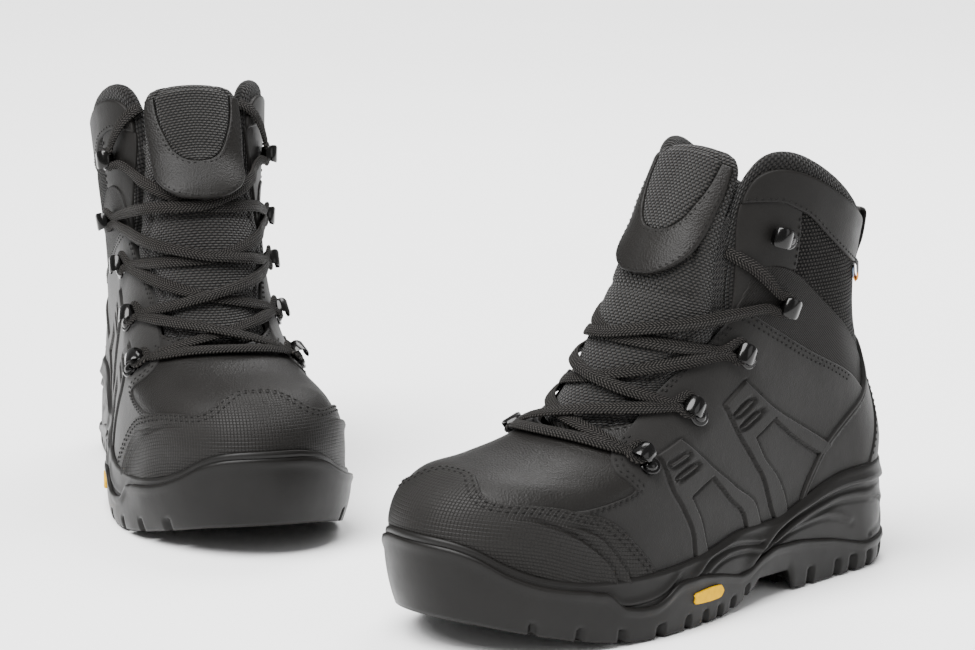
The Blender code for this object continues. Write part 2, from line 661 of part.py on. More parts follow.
def add_pull_loop(boot):
    """The folded strap sewn on outside the back of the collar, which stands above its rim and hinges at its seam."""
    x, z = along(BACK_LINE, LOOP_SEAM_V)
    lean = math.atan2(float(along(BACK_LINE, 1.0)[0] - x), float(along(BACK_LINE, 1.0)[1] - z))
    near, far = LOOP_LEGS[0] + 0.4, LOOP_LEGS[0] + 0.4 + LOOP_LEGS[1] + 2 * LOOP_RADIUS
    middle, outer = (near + far) / 2, (far - near) / 2
    outline = [(near, 0)] + [(middle - outer * math.cos(a), LOOP_HEIGHT + outer * math.sin(a))
                             for a in np.radians(np.linspace(0, 180, 7))] + [(middle + 0.8, 0)]
    inner = outer - LOOP_LEGS[1] / 2
    hole = [(middle + inner * math.cos(a), LOOP_HEIGHT + inner * math.sin(a))
            for a in np.radians(np.linspace(0, 180, 7))] + [(near + LOOP_LEGS[1] / 2, 9)]
    sections = []
    for y in (-LOOP_HALF_WIDTH, LOOP_HALF_WIDTH):
        sections.append([(x - a * math.cos(lean) + b * math.sin(lean), y, z + b * math.cos(lean) + a * math.sin(lean))
                         for a, b in outline])
    points, faces = strip(sections)
    loop = boot.add("pull_loop", points, faces, "overlay", origin=(x - middle, 0, z))
    opening = [[(x - a * math.cos(lean) + b * math.sin(lean), y, z + b * math.cos(lean) + a * math.sin(lean))
                for a, b in hole] for y in (-LOOP_HALF_WIDTH - 4, LOOP_HALF_WIDTH + 4)]
    cutter = boot.add("loop_opening", *strip(opening), "overlay")
    cutter.hide_render = True
    cutter.display_type = "WIRE"
    cut = loop.modifiers.new("opening", "BOOLEAN")
    cut.operation = "DIFFERENCE"
    cut.object = cutter


def make_boot(name, heading, at, mirrored, top_hook):
    boot = Boot(name, heading, at, mirrored)
    add_soles(boot)
    add_badge(boot)
    add_upper(boot)
    add_tongue(boot)
    add_hooks(boot)
    add_lace(boot, top_hook)
    add_pull_loop(boot)


def main():
    for old in list(bpy.data.objects):
        bpy.data.objects.remove(old)
    make_boot("left", LEFT_HEADING, LEFT_AT, mirrored=False, top_hook=3)
    make_boot("right", RIGHT_HEADING, RIGHT_AT, mirrored=True, top_hook=4)


main()
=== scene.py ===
"""Looks for the pair of hiking boots: leather, mesh, laces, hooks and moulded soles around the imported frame."""

import math

import bmesh
import bpy
import numpy as np
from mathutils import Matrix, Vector
from mathutils.geometry import delaunay_2d_cdt


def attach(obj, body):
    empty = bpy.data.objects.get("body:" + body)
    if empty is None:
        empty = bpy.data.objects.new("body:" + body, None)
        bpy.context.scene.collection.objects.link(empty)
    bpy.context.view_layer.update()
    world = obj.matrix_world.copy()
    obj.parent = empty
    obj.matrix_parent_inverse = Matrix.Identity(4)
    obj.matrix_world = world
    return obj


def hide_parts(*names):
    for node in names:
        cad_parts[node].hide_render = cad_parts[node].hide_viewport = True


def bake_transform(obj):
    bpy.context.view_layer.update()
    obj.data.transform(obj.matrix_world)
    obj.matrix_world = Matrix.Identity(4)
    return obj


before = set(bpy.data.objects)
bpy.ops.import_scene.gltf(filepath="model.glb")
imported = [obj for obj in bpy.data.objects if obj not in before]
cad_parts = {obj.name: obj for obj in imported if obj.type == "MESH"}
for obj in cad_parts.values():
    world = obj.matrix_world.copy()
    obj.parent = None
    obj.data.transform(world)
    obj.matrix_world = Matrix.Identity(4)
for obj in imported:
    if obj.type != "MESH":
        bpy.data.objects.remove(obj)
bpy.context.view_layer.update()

MM = 0.001

# ---------------------------------------------------------------- the same surface as the CAD model's, in millimetres
FRONT_LINE = [(290, 46), (293, 56), (288, 68), (275, 78), (255, 83), (230, 88), (206, 98), (184, 114), (165, 132),
              (150, 152), (139, 171), (131, 186)]
BACK_LINE = [(8, 46), (6, 62), (11, 84), (18, 104), (24, 124), (26, 143), (24, 157), (21, 168)]
COLLAR_RISE = 26
FEATHER_X = [0, 35, 75, 110, 150, 200, 235, 262, 300]
FEATHER_Z = [47, 46, 38, 30, 26, 25, 31, 41, 46]
WIDTH_X = [0, 30, 60, 90, 120, 160, 200, 235, 265, 300]
WIDTH_Z = [30, 60, 90, 120, 150, 185]
OUTER_WIDTH = [
    [35, 36, 37, 38, 42, 49, 53, 51, 45, 39],
    [34, 35, 36, 38, 41, 46, 50, 49, 44, 38],
    [31, 33, 36, 37, 39, 41, 43, 43, 40, 36],
    [31, 34, 38, 38, 37, 37, 37, 37, 37, 35],
    [33, 38, 42, 42, 39, 36, 35, 35, 35, 35],
    [36, 43, 47, 46, 43, 39, 36, 36, 35, 35],
]
INNER_WIDTH = [
    [34, 35, 34, 34, 37, 43, 49, 50, 46, 39],
    [33, 34, 34, 35, 37, 42, 46, 48, 45, 38],
    [30, 32, 34, 35, 36, 38, 40, 42, 41, 36],
    [30, 33, 36, 36, 36, 36, 36, 36, 36, 35],
    [32, 37, 41, 41, 38, 35, 34, 34, 34, 34],
    [36, 42, 46, 45, 42, 39, 36, 36, 35, 35],
]
FRONT_ROUND = ([0, 0.15, 0.35, 0.55, 0.8, 1.0], [46, 50, 72, 74, 58, 56])
BACK_ROUND = ([0, 0.5, 1.0], [36, 40, 50])
TOE_TURN = -9
THROAT_V = [0, 0.486, 0.6, 0.7, 0.79, 0.9, 1.0]
THROAT_HALF = [30, 36, 41, 49, 45, 38, 38]
RISE_MM = 229.0
STATION_AT = 150.0
HOOKS = [(199, 81), (164, 99), (131, 120), (103, 140), (108, 174)]
TONGUE_OFFSET_V = [0.486, 0.6, 0.7, 0.8, 0.9, 1.0, 1.16]
TONGUE_OFFSET = [0.5, 4, 7, 9, 10, 9, 5]
TONGUE_ARCH, TONGUE_RUN, TONGUE_FOLD_V = 3.0, 228.0, 0.93

# Each boot's heading in degrees, place, whether it is the mirror image, and the highest hook its lace reaches.
BOOTS = {"left": (224.0, (86.8, -117.6), False, 3), "right": (283.0, (-139.2, 82.4), True, 4)}


def spline(knots, values, at):
    """A smooth curve through (knots, values), read at one or many places."""
    knots, values = np.asarray(knots, float), np.asarray(values, float)
    at = np.clip(at, knots[0], knots[-1])
    i = np.clip(np.searchsorted(knots, at, side="right") - 1, 0, len(knots) - 2)
    slope = np.gradient(values, knots)
    slope[1:-1] = (values[2:] - values[:-2]) / (knots[2:] - knots[:-2])
    step = knots[i + 1] - knots[i]
    t = (at - knots[i]) / step
    rise = 3 * t**2 - 2 * t**3
    return ((1 - rise) * values[i] + rise * values[i + 1]
            + (t**3 - 2 * t**2 + t) * step * slope[i] + (t**3 - t**2) * step * slope[i + 1])


def run_length(points):
    """The distance along a polyline, at each of its points."""
    return np.concatenate([[0], np.cumsum(np.linalg.norm(np.diff(points, axis=0), axis=1))])


def resampled(run, points, at):
    """The smooth curve through points at distances run, read at the distances at."""
    return np.stack([spline(run, points[:, k], at) for k in range(points.shape[1])], axis=1)


def between(at, run, points):
    """The straight-sided line through points at distances run, read at the distances at."""
    return np.stack([np.interp(at, run, points[:, k]) for k in range(points.shape[1])], axis=1)


def unit(vectors):
    return vectors / np.linalg.norm(vectors, axis=-1, keepdims=True)


def blurred(ring):
    """The values round a closed ring, each mixed with its two neighbours."""
    return (np.roll(ring, 1, 0) + 2 * ring + np.roll(ring, -1, 0)) / 4


def along(line, share):
    """The point of an (x, z) line at a share of its length."""
    line = np.asarray(line, float)
    run = run_length(line)
    return spline(run, line[:, 0], share * run[-1]), spline(run, line[:, 1], share * run[-1])


def half_width(table, x, z):
    """The half width of the upper from one of the two tables."""
    rows = np.array([spline(WIDTH_X, row, x) for row in table])
    return np.array([spline(WIDTH_Z, rows[:, i], z[i]) for i in range(len(x))])


def centre_line(x):
    """How far the boot's centre line bends sideways, at x."""
    t = np.clip((x - 170) / 125, 0, 1)
    return TOE_TURN * t * t * (3 - 2 * t)


def ring(v, outer, samples=200):
    """Points of the upper at a level v, from its front to its back on one side."""
    t = np.linspace(0, 1, samples)
    front_x, front_z = along(FRONT_LINE, v)
    back_x, back_z = along(BACK_LINE, v)
    share = (1 - np.cos(math.pi * t)) / 2
    x = front_x + (back_x - front_x) * share
    z = front_z + (back_z - front_z) * share
    width = half_width(OUTER_WIDTH if outer else INNER_WIDTH, x, z)
    front_round = min(spline(*FRONT_ROUND, v), 0.62 * (front_x - back_x))
    back_round = min(spline(*BACK_ROUND, v), 0.45 * (front_x - back_x))
    front_in = np.clip((front_x - x) / front_round, 0, 1)
    back_in = np.clip((x - back_x) / back_round, 0, 1)
    width = width * np.sqrt(1 - (1 - front_in) ** 2) ** 0.95 * np.sqrt(1 - (1 - back_in) ** 2)
    z = z + COLLAR_RISE * v**4 * np.sin(math.pi * share**0.545) ** 1.5
    z = z + (1 - v) ** 3 * (spline(FEATHER_X, FEATHER_Z, x) - (FRONT_LINE[0][1] + (BACK_LINE[0][1]
                            - FRONT_LINE[0][1]) * share))
    side = 1 if outer else -1
    return np.stack([x, centre_line(x) + side * width, z], axis=1)


def evenly(points, count):
    """The polyline with count points at even steps, and its length."""
    run = run_length(points)
    return between(np.linspace(0, run[-1], count), run, points), run[-1]


class Surface:
    """The upper as a fine grid. u runs from -1 to 1 round it, 0 in front, v from 0 to 1 up it."""

    COLS, LEVELS = 181, 111

    def __init__(self):
        c, levels = self.COLS, self.LEVELS
        self.grid = np.zeros((levels, 2 * c - 1, 3))
        self.girth = np.zeros((levels, 2))
        for j, v in enumerate(np.linspace(0, 1, levels)):
            outer, self.girth[j, 0] = evenly(ring(v, True), c)
            inner, self.girth[j, 1] = evenly(ring(v, False), c)
            self.grid[j, c - 1:] = outer
            self.grid[j, :c] = inner[::-1]

    def at(self, u, v):
        u, v = np.atleast_1d(np.asarray(u, float)), np.atleast_1d(np.asarray(v, float))
        u, v = np.broadcast_arrays(u, v)
        inside = np.clip(v, 0, 1)
        place = self._at(u, inside)
        over = v - inside
        if np.any(over):
            low = np.where(over < 0, 0.0, 0.96)
            slope = (self._at(u, low + 0.04) - self._at(u, low)) / 0.04
            place = place + slope * over[..., None]
        return place

    def _at(self, u, v):
        column = ((u + 1) % 2) * (self.COLS - 1)
        level = v * (self.LEVELS - 1)
        i = np.clip(column.astype(int), 0, 2 * self.COLS - 3)
        j = np.clip(level.astype(int), 0, self.LEVELS - 2)
        a, b = (column - i)[..., None], (level - j)[..., None]
        g = self.grid
        return ((1 - a) * (1 - b) * g[j, i] + a * (1 - b) * g[j, i + 1]
                + (1 - a) * b * g[j + 1, i] + a * b * g[j + 1, i + 1])

    def normal(self, u, v):
        v = np.clip(v, -0.02, 1.02)
        du = self.at(np.asarray(u) + 0.012, v) - self.at(np.asarray(u) - 0.012, v)
        dv = self.at(u, np.minimum(v + 0.015, 1.03)) - self.at(u, np.maximum(v - 0.015, -0.03))
        return unit(np.cross(du, dv))

    def lifted(self, u, v, h):
        return self.at(u, v) + self.normal(u, v) * np.atleast_1d(np.asarray(h, float))[..., None]

    def half_girth(self, v, outer):
        levels = np.linspace(0, 1, self.LEVELS)
        return np.where(outer, np.interp(v, levels, self.girth[:, 0]), np.interp(v, levels, self.girth[:, 1]))

    def find(self, x, z, outer):
        c = self.COLS
        half = self.grid[:, c - 1:] if outer else self.grid[:, :c]
        away = (half[:, :, 0] - x) ** 2 + (half[:, :, 2] - z) ** 2
        j, i = np.unravel_index(away.argmin(), away.shape)
        return (i / (c - 1) if outer else i / (c - 1) - 1), j / (self.LEVELS - 1)


UPPER = Surface()


# ---------------------------------------------------------------- charts: flat maps of the upper
def to_chart(uv, back=False):
    """(u, v) to millimetres: along the ring from the front line, or from the back line, and up it."""
    uv = np.asarray(uv, float)
    u, v = uv[:, 0], uv[:, 1]
    if back:
        outer = u >= 0
        x = np.where(outer, (1 - u), -(1 + u)) * UPPER.half_girth(v, outer)
    else:
        x = u * UPPER.half_girth(v, u >= 0)
    return np.stack([x, v * RISE_MM], axis=1)


def from_chart(xy, back=False):
    v = xy[:, 1] / RISE_MM
    outer = xy[:, 0] >= 0
    share = np.abs(xy[:, 0]) / UPPER.half_girth(v, outer)
    if back:
        return np.where(outer, 1 - share, 1 + share), v
    return np.where(outer, share, -share), v


def smooth(points, step=1.6):
    """A smooth curve through chart points, with points at even steps."""
    p = np.asarray(points, float)
    if len(p) > 2:
        run = run_length(p)
        t = np.linspace(0, run[-1], max(8, int(run[-1] / 0.6)))
        p = resampled(run, p, t)
    length = np.linalg.norm(np.diff(p, axis=0), axis=1).sum()
    return evenly(p, max(2, int(round(length / step)) + 1))[0]


def outline(*segments, step=1.6):
    """A closed loop from smooth segments that meet at corners."""
    return np.concatenate([smooth(s, step)[:-1] for s in segments])


def mirror(points):
    return [(-a, b) for a, b in points]


def inside(loop, points):
    """Which points lie in a closed loop."""
    x, y = points[:, 0], points[:, 1]
    hit = np.zeros(len(points), bool)
    a, b = loop, np.roll(loop, -1, axis=0)
    for (x0, y0), (x1, y1) in zip(a, b):
        crosses = (y0 > y) != (y1 > y)
        if crosses.any():
            hit ^= crosses & (x < (x1 - x0) * (y - y0) / (y1 - y0 + 1e-12) + x0)
    return hit


def nearest(points, line, closed=True):
    """The distance from each point to a polyline, in the points' own dimension."""
    a = line if closed else line[:-1]
    b = np.roll(line, -1, axis=0) if closed else line[1:]
    best = np.full(len(points), 1e9)
    ab = b - a
    size = (ab**2).sum(axis=1) + 1e-12
    for start in range(0, len(points), 4000):
        p = points[start:start + 4000]
        t = np.clip(np.einsum("ijk,jk->ij", p[:, None] - a[None], ab) / size, 0, 1)
        d = np.linalg.norm(p[:, None] - (a[None] + t[..., None] * ab[None]), axis=2)
        best[start:start + 4000] = d.min(axis=1)
    return best


def ease(t):
    t = np.clip(t, 0, 1)
    return t * t * (3 - 2 * t)


# ---------------------------------------------------------------- boots and pieces
class Boot:
    """One boot: where it stands, and how its pieces are made from local millimetres."""

    def __init__(self, name):
        self.name = name
        self.heading, self.at, self.mirrored, self.top_hook = BOOTS[name]
        angle = math.radians(self.heading)
        self.ahead = np.array([math.cos(angle), math.sin(angle), 0])
        self.left = np.array([-math.sin(angle), math.cos(angle), 0])

    def world(self, points):
        p = np.asarray(points, float)
        y = -p[..., 1] if self.mirrored else p[..., 1]
        base = np.array([*self.at, 0.0])
        w = (base + (p[..., 0] - STATION_AT)[..., None] * self.ahead + y[..., None] * self.left)
        w[..., 2] = p[..., 2]
        return w * MM

    def piece(self, name, points, faces, material, slot, uv=None, body="root", replaces=(), flip=False):
        """A mesh piece from local millimetres, riding on a body."""
        mesh = bpy.data.meshes.new(f"{self.name}_{name}_look")
        turn = self.mirrored != flip
        faces = [tuple(f)[::-1] if turn else tuple(f) for f in faces]
        mesh.from_pydata([tuple(p) for p in self.world(points)], [], faces)
        if uv is not None:
            layer = mesh.uv_layers.new(name="UVMap")
            index = np.zeros(len(mesh.loops), int)
            mesh.loops.foreach_get("vertex_index", index)
            layer.data.foreach_set("uv", np.asarray(uv, float)[index].ravel())
        mesh.materials.append(material)
        mesh.shade_smooth()
        made = bpy.data.objects.new(mesh.name, mesh)
        bpy.context.scene.collection.objects.link(made)
        if body:
            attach(made, body)
        if replaces:
            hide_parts(*[f"{self.name}_{node}" for node in replaces])
        return made


def grid_faces(rows, cols, closed=False, flip=False):
    j, i = np.meshgrid(np.arange(rows - 1), np.arange(cols if closed else cols - 1), indexing="ij")
    a = j * cols + i
    b = j * cols + (i + 1) % cols
    quads = np.stack([a, b, b + cols, a + cols], axis=-1).reshape(-1, 4)
    return (quads[:, ::-1] if flip else quads).tolist()


def capped(rows, count):
    """The faces of a stack of closed rings of count points, with both ends filled."""
    last = (rows - 1) * count
    return grid_faces(rows, count, closed=True) + [list(range(count))[::-1], list(range(last, last + count))]


def loop_area(loop):
    """The area in a closed chart loop, below zero if it turns clockwise."""
    return 0.5 * np.sum(loop[:, 0] * np.roll(loop[:, 1], -1) - np.roll(loop[:, 0], -1) * loop[:, 1])


def inward(loop, gaps):
    """Copies of a closed chart loop moved into it by each of the gaps."""
    t = unit(np.roll(loop, -1, 0) - np.roll(loop, 1, 0))
    n = np.stack([-t[:, 1], t[:, 0]], 1) * (1 if loop_area(loop) > 0 else -1)
    return [loop + n * g for g in gaps]


def stretch(xy, place):
    """How many real millimetres a chart millimetre covers at each chart point, along the ring and up it."""
    e = 0.6
    return [np.linalg.norm(place(xy + move) - place(xy - move), axis=1) / (2 * e) for move in ([e, 0], [0, e])]


def filled(loop, near, place, pitch, near_gap, field_gap):
    """Triangles inside a chart loop, from its own points, rows of points near it, and a field of even points.

    place puts chart points in space, where both gaps from the loop are kept. It gives the chart points, the faces,
    the points in space and their distances from the loop."""
    border = place(loop)
    low, high = loop.min(axis=0), loop.max(axis=0)
    gx, gy = np.meshgrid(np.arange(low[0], high[0], pitch[0]), np.arange(low[1], high[1], pitch[1]))
    gx[1::2] += pitch[0] / 2
    parts = [loop]
    for points, gap in ((np.concatenate(near), near_gap), (np.stack([gx.ravel(), gy.ravel()], 1), field_gap)):
        points = points[inside(loop, points)]
        parts.append(points[nearest(place(points), border) > gap])
    made = delaunay_2d_cdt([Vector(p) for p in np.concatenate(parts)], [], [list(range(len(loop)))], 1, 1e-3)
    xy = np.array([tuple(p) for p in made[0]])
    flat = place(xy)
    return xy, [list(f) for f in made[2]], flat, nearest(flat, border)


def rolled(d, radius):
    """The height of a quarter-round edge at distances from it, 0 to 1."""
    return np.sqrt(np.clip(1 - (1 - np.clip(d / radius, 0, 1)) ** 2, 0, 1))


def skirt_faces(faces, count):
    """The points on a mesh's open edges, and faces from them to copies of them that follow its count points."""
    used = {(a, b): True for f in faces for a, b in zip(f, f[1:] + f[:1])}
    rim = [(a, b) for a, b in used if (b, a) not in used]
    ids = sorted({a for edge in rim for a in edge})
    index = {a: count + n for n, a in enumerate(ids)}
    return ids, [[b, a, index[a], index[b]] for a, b in rim]


def panel(boot, name, loop, material, slot, lift=0.5, thick=1.0, edge=1.0, depth=1.6, step=2.6, back=False,
          shape=None, lines=(), uv="side", replaces=(), lift_at=None):
    """A cut panel lying on the upper: crisp rolled edges, and whatever relief its shape function adds.

    loop is its outline in chart millimetres. lines are chart curves that need a finer mesh beside them."""
    def place(xy):
        return UPPER.lifted(*from_chart(xy, back), 0)

    def beside(xy, closed, gaps):
        sx, sy = (np.clip(scale, 0.3, 3) for scale in stretch(xy, place))
        ahead = np.roll(xy, -1, 0) - np.roll(xy, 1, 0) if closed else np.gradient(xy, axis=0)
        t = ahead * np.stack([sx, sy], 1)
        t /= np.linalg.norm(t, axis=1, keepdims=True) + 1e-9
        n = np.stack([-t[:, 1] / sx, t[:, 0] / sy], 1)
        return [xy + n * g for g in gaps]

    if loop_area(loop) < 0:
        loop = loop[::-1]
    near = beside(loop, True, (edge * 0.25, edge * 0.6, edge, edge + 0.9))
    for line in lines:
        near += beside(line, False, (-2.2, -1.4, -0.75, -0.35, 0.0, 0.35, 0.75, 1.4, 2.2))
    xy, faces, flat, d = filled(loop, near, place, (step, step * 0.9), edge * 0.2, edge + 1.6)
    u, v = from_chart(xy, back)
    rise = lift_at(u, v) if lift_at is not None else np.zeros(len(u))
    h = lift + thick * rolled(d, edge) + rise
    if shape is not None:
        h = h + shape(xy, flat, d)
    ids, skirt = skirt_faces(faces, len(xy))
    low = UPPER.lifted(u[ids], v[ids], lift - depth + rise[ids])
    coords = flat[:, [0, 2]] if uv == "side" else xy
    return boot.piece(name, np.concatenate([UPPER.lifted(u, v, h), low]), faces + skirt, material, slot,
                      np.concatenate([coords, coords[ids]]) / 10, "root", replaces, flip=back)


class Beads:
    """Collects small repeated solids, such as stitches, into one mesh."""

    def __init__(self):
        self.points, self.faces, self.count = [], [], 0

    def add(self, points, faces):
        self.points.append(points)
        self.faces += [[i + self.count for i in f] for f in faces]
        self.count += len(points)

    def stack(self, rings):
        """A solid through closed rings of points, filled at both ends."""
        self.add(np.array(rings).reshape(-1, 3), capped(len(rings), len(rings[0])))

    def bead(self, centres, side, up, radii):
        """One stitch: a flattened six-sided rod along its centres."""
        a = np.linspace(0, 2 * math.pi, 6, endpoint=False)[:, None]
        self.stack([c + r * (np.cos(a) * across + 0.8 * np.sin(a) * high)
                    for c, across, high, r in zip(centres, side, up, radii)])

    def stitches(self, xy, back=False, lift=2.0, pitch=3.5, length=2.5, radius=0.5, lift_at=None):
        """Thread lying along a chart curve, one bead per stitch, dipping into its holes at the ends."""
        u, v = from_chart(xy, back)
        h = np.zeros(len(u)) + lift + (lift_at(u, v) if lift_at is not None else 0)
        line = UPPER.lifted(u, v, h)
        normal = UPPER.normal(u, v)
        run = run_length(line)
        for start in np.arange(pitch * 0.4, run[-1] - length, pitch):
            at = start + np.linspace(0, 1, 5) * length
            c = between(at, run, line)
            n = unit(between(at, run, normal))
            t = c[-1] - c[0]
            t /= np.linalg.norm(t) + 1e-9
            side = np.cross(n, t)
            c = c + n * (np.array([-0.6, -0.08, 0.02, -0.08, -0.6])[:, None])
            r = radius * np.array([0.35, 0.9, 1.0, 0.9, 0.35])
            self.bead(c, side, n, r)


# ---------------------------------------------------------------- materials
class Look:
    """A Principled material built from nodes."""

    def __init__(self, name, rough, metallic=0.0, **sockets):
        self.material = bpy.data.materials.new(name)
        self.material.use_nodes = True
        self.tree = self.material.node_tree
        self.shader = self.tree.nodes["Principled BSDF"]
        self.shader.inputs["Roughness"].default_value = rough
        self.shader.inputs["Metallic"].default_value = metallic
        for key, value in sockets.items():
            self.shader.inputs[key.replace("_", " ")].default_value = value
        self.coords = self.tree.nodes.new("ShaderNodeTexCoord")
        self.bumped = None

    def node(self, kind, inputs=None, **props):
        made = self.tree.nodes.new(kind)
        for key, value in props.items():
            setattr(made, key, value)
        for key, value in (inputs or {}).items():
            if hasattr(value, "is_output"):
                self.tree.links.new(value, made.inputs[key])
            else:
                made.inputs[key].default_value = value
        return made

    def math(self, operation, a, b=0.0, c=0.0):
        return self.node("ShaderNodeMath", {0: a, 1: b, 2: c}, operation=operation).outputs[0]

    def noise(self, scale, detail=3.0, rough=0.5):
        made = self.node("ShaderNodeTexNoise", {"Vector": self.coords.outputs["Object"], "Scale": scale,
                                                "Detail": detail, "Roughness": rough})
        return made.outputs["Fac"]

    def cells(self, scale):
        made = self.node("ShaderNodeTexVoronoi", {"Vector": self.coords.outputs["Object"], "Scale": scale})
        return made.outputs["Distance"]

    def uv(self):
        made = self.node("ShaderNodeSeparateXYZ", {0: self.coords.outputs["UV"]})
        return made.outputs[0], made.outputs[1]

    def colour(self, value, stops):
        """The base colour, from the stops of a ramp over value."""
        made = self.node("ShaderNodeValToRGB", {0: value})
        ramp = made.color_ramp
        while len(ramp.elements) < len(stops):
            ramp.elements.new(0.5)
        for element, (place, colour) in zip(ramp.elements, stops):
            element.position = place
            element.color = (*colour, 1)
        self.tree.links.new(made.outputs[0], self.shader.inputs["Base Color"])

    def roughness(self, value, low, high):
        made = self.node("ShaderNodeMapRange", {"Value": value, "To Min": low, "To Max": high})
        self.tree.links.new(made.outputs[0], self.shader.inputs["Roughness"])

    def bump(self, height, distance, strength=1.0):
        made = self.node("ShaderNodeBump", {"Height": height, "Distance": distance, "Strength": strength})
        if self.bumped is not None:
            self.tree.links.new(self.bumped, made.inputs["Normal"])
        self.bumped = made.outputs[0]
        self.tree.links.new(self.bumped, self.shader.inputs["Normal"])

    def ridges(self, value, pitch):
        """Ridges along a value, 0 in the dips between them and 1 on top."""
        return self.math("ABSOLUTE", self.math("SINE", self.math("MULTIPLY", value, math.pi / pitch)))

    # Random flecks from the noise, plus colour that follows the relief height: painted shade in the dips and painted
    # highlight on the raised tops.
    def flecks_and_painted_shade(self, noise, much, height, more):
        return self.math("MULTIPLY_ADD", noise, much, self.math("MULTIPLY", height, more))

    def staggered(self, pitch_x, pitch_y, turned=False):
        """Rows of staggered beads in UV centimetres, like a coarse basket weave, 0 in the gaps and 1 on top."""
        x, y = self.uv()
        if turned:
            x, y = y, x
        row = self.math("DIVIDE", y, pitch_y)
        shift = self.math("MULTIPLY", self.math("MODULO", self.math("ABSOLUTE", self.math("FLOOR", row)), 2.0), 0.5)
        column = self.math("MULTIPLY_ADD", x, 1 / pitch_x, shift)
        tops = [self.math("POWER", self.ridges(c, 1), 0.7)
                for c in (row, column)]
        return self.math("MULTIPLY", tops[0], tops[1])


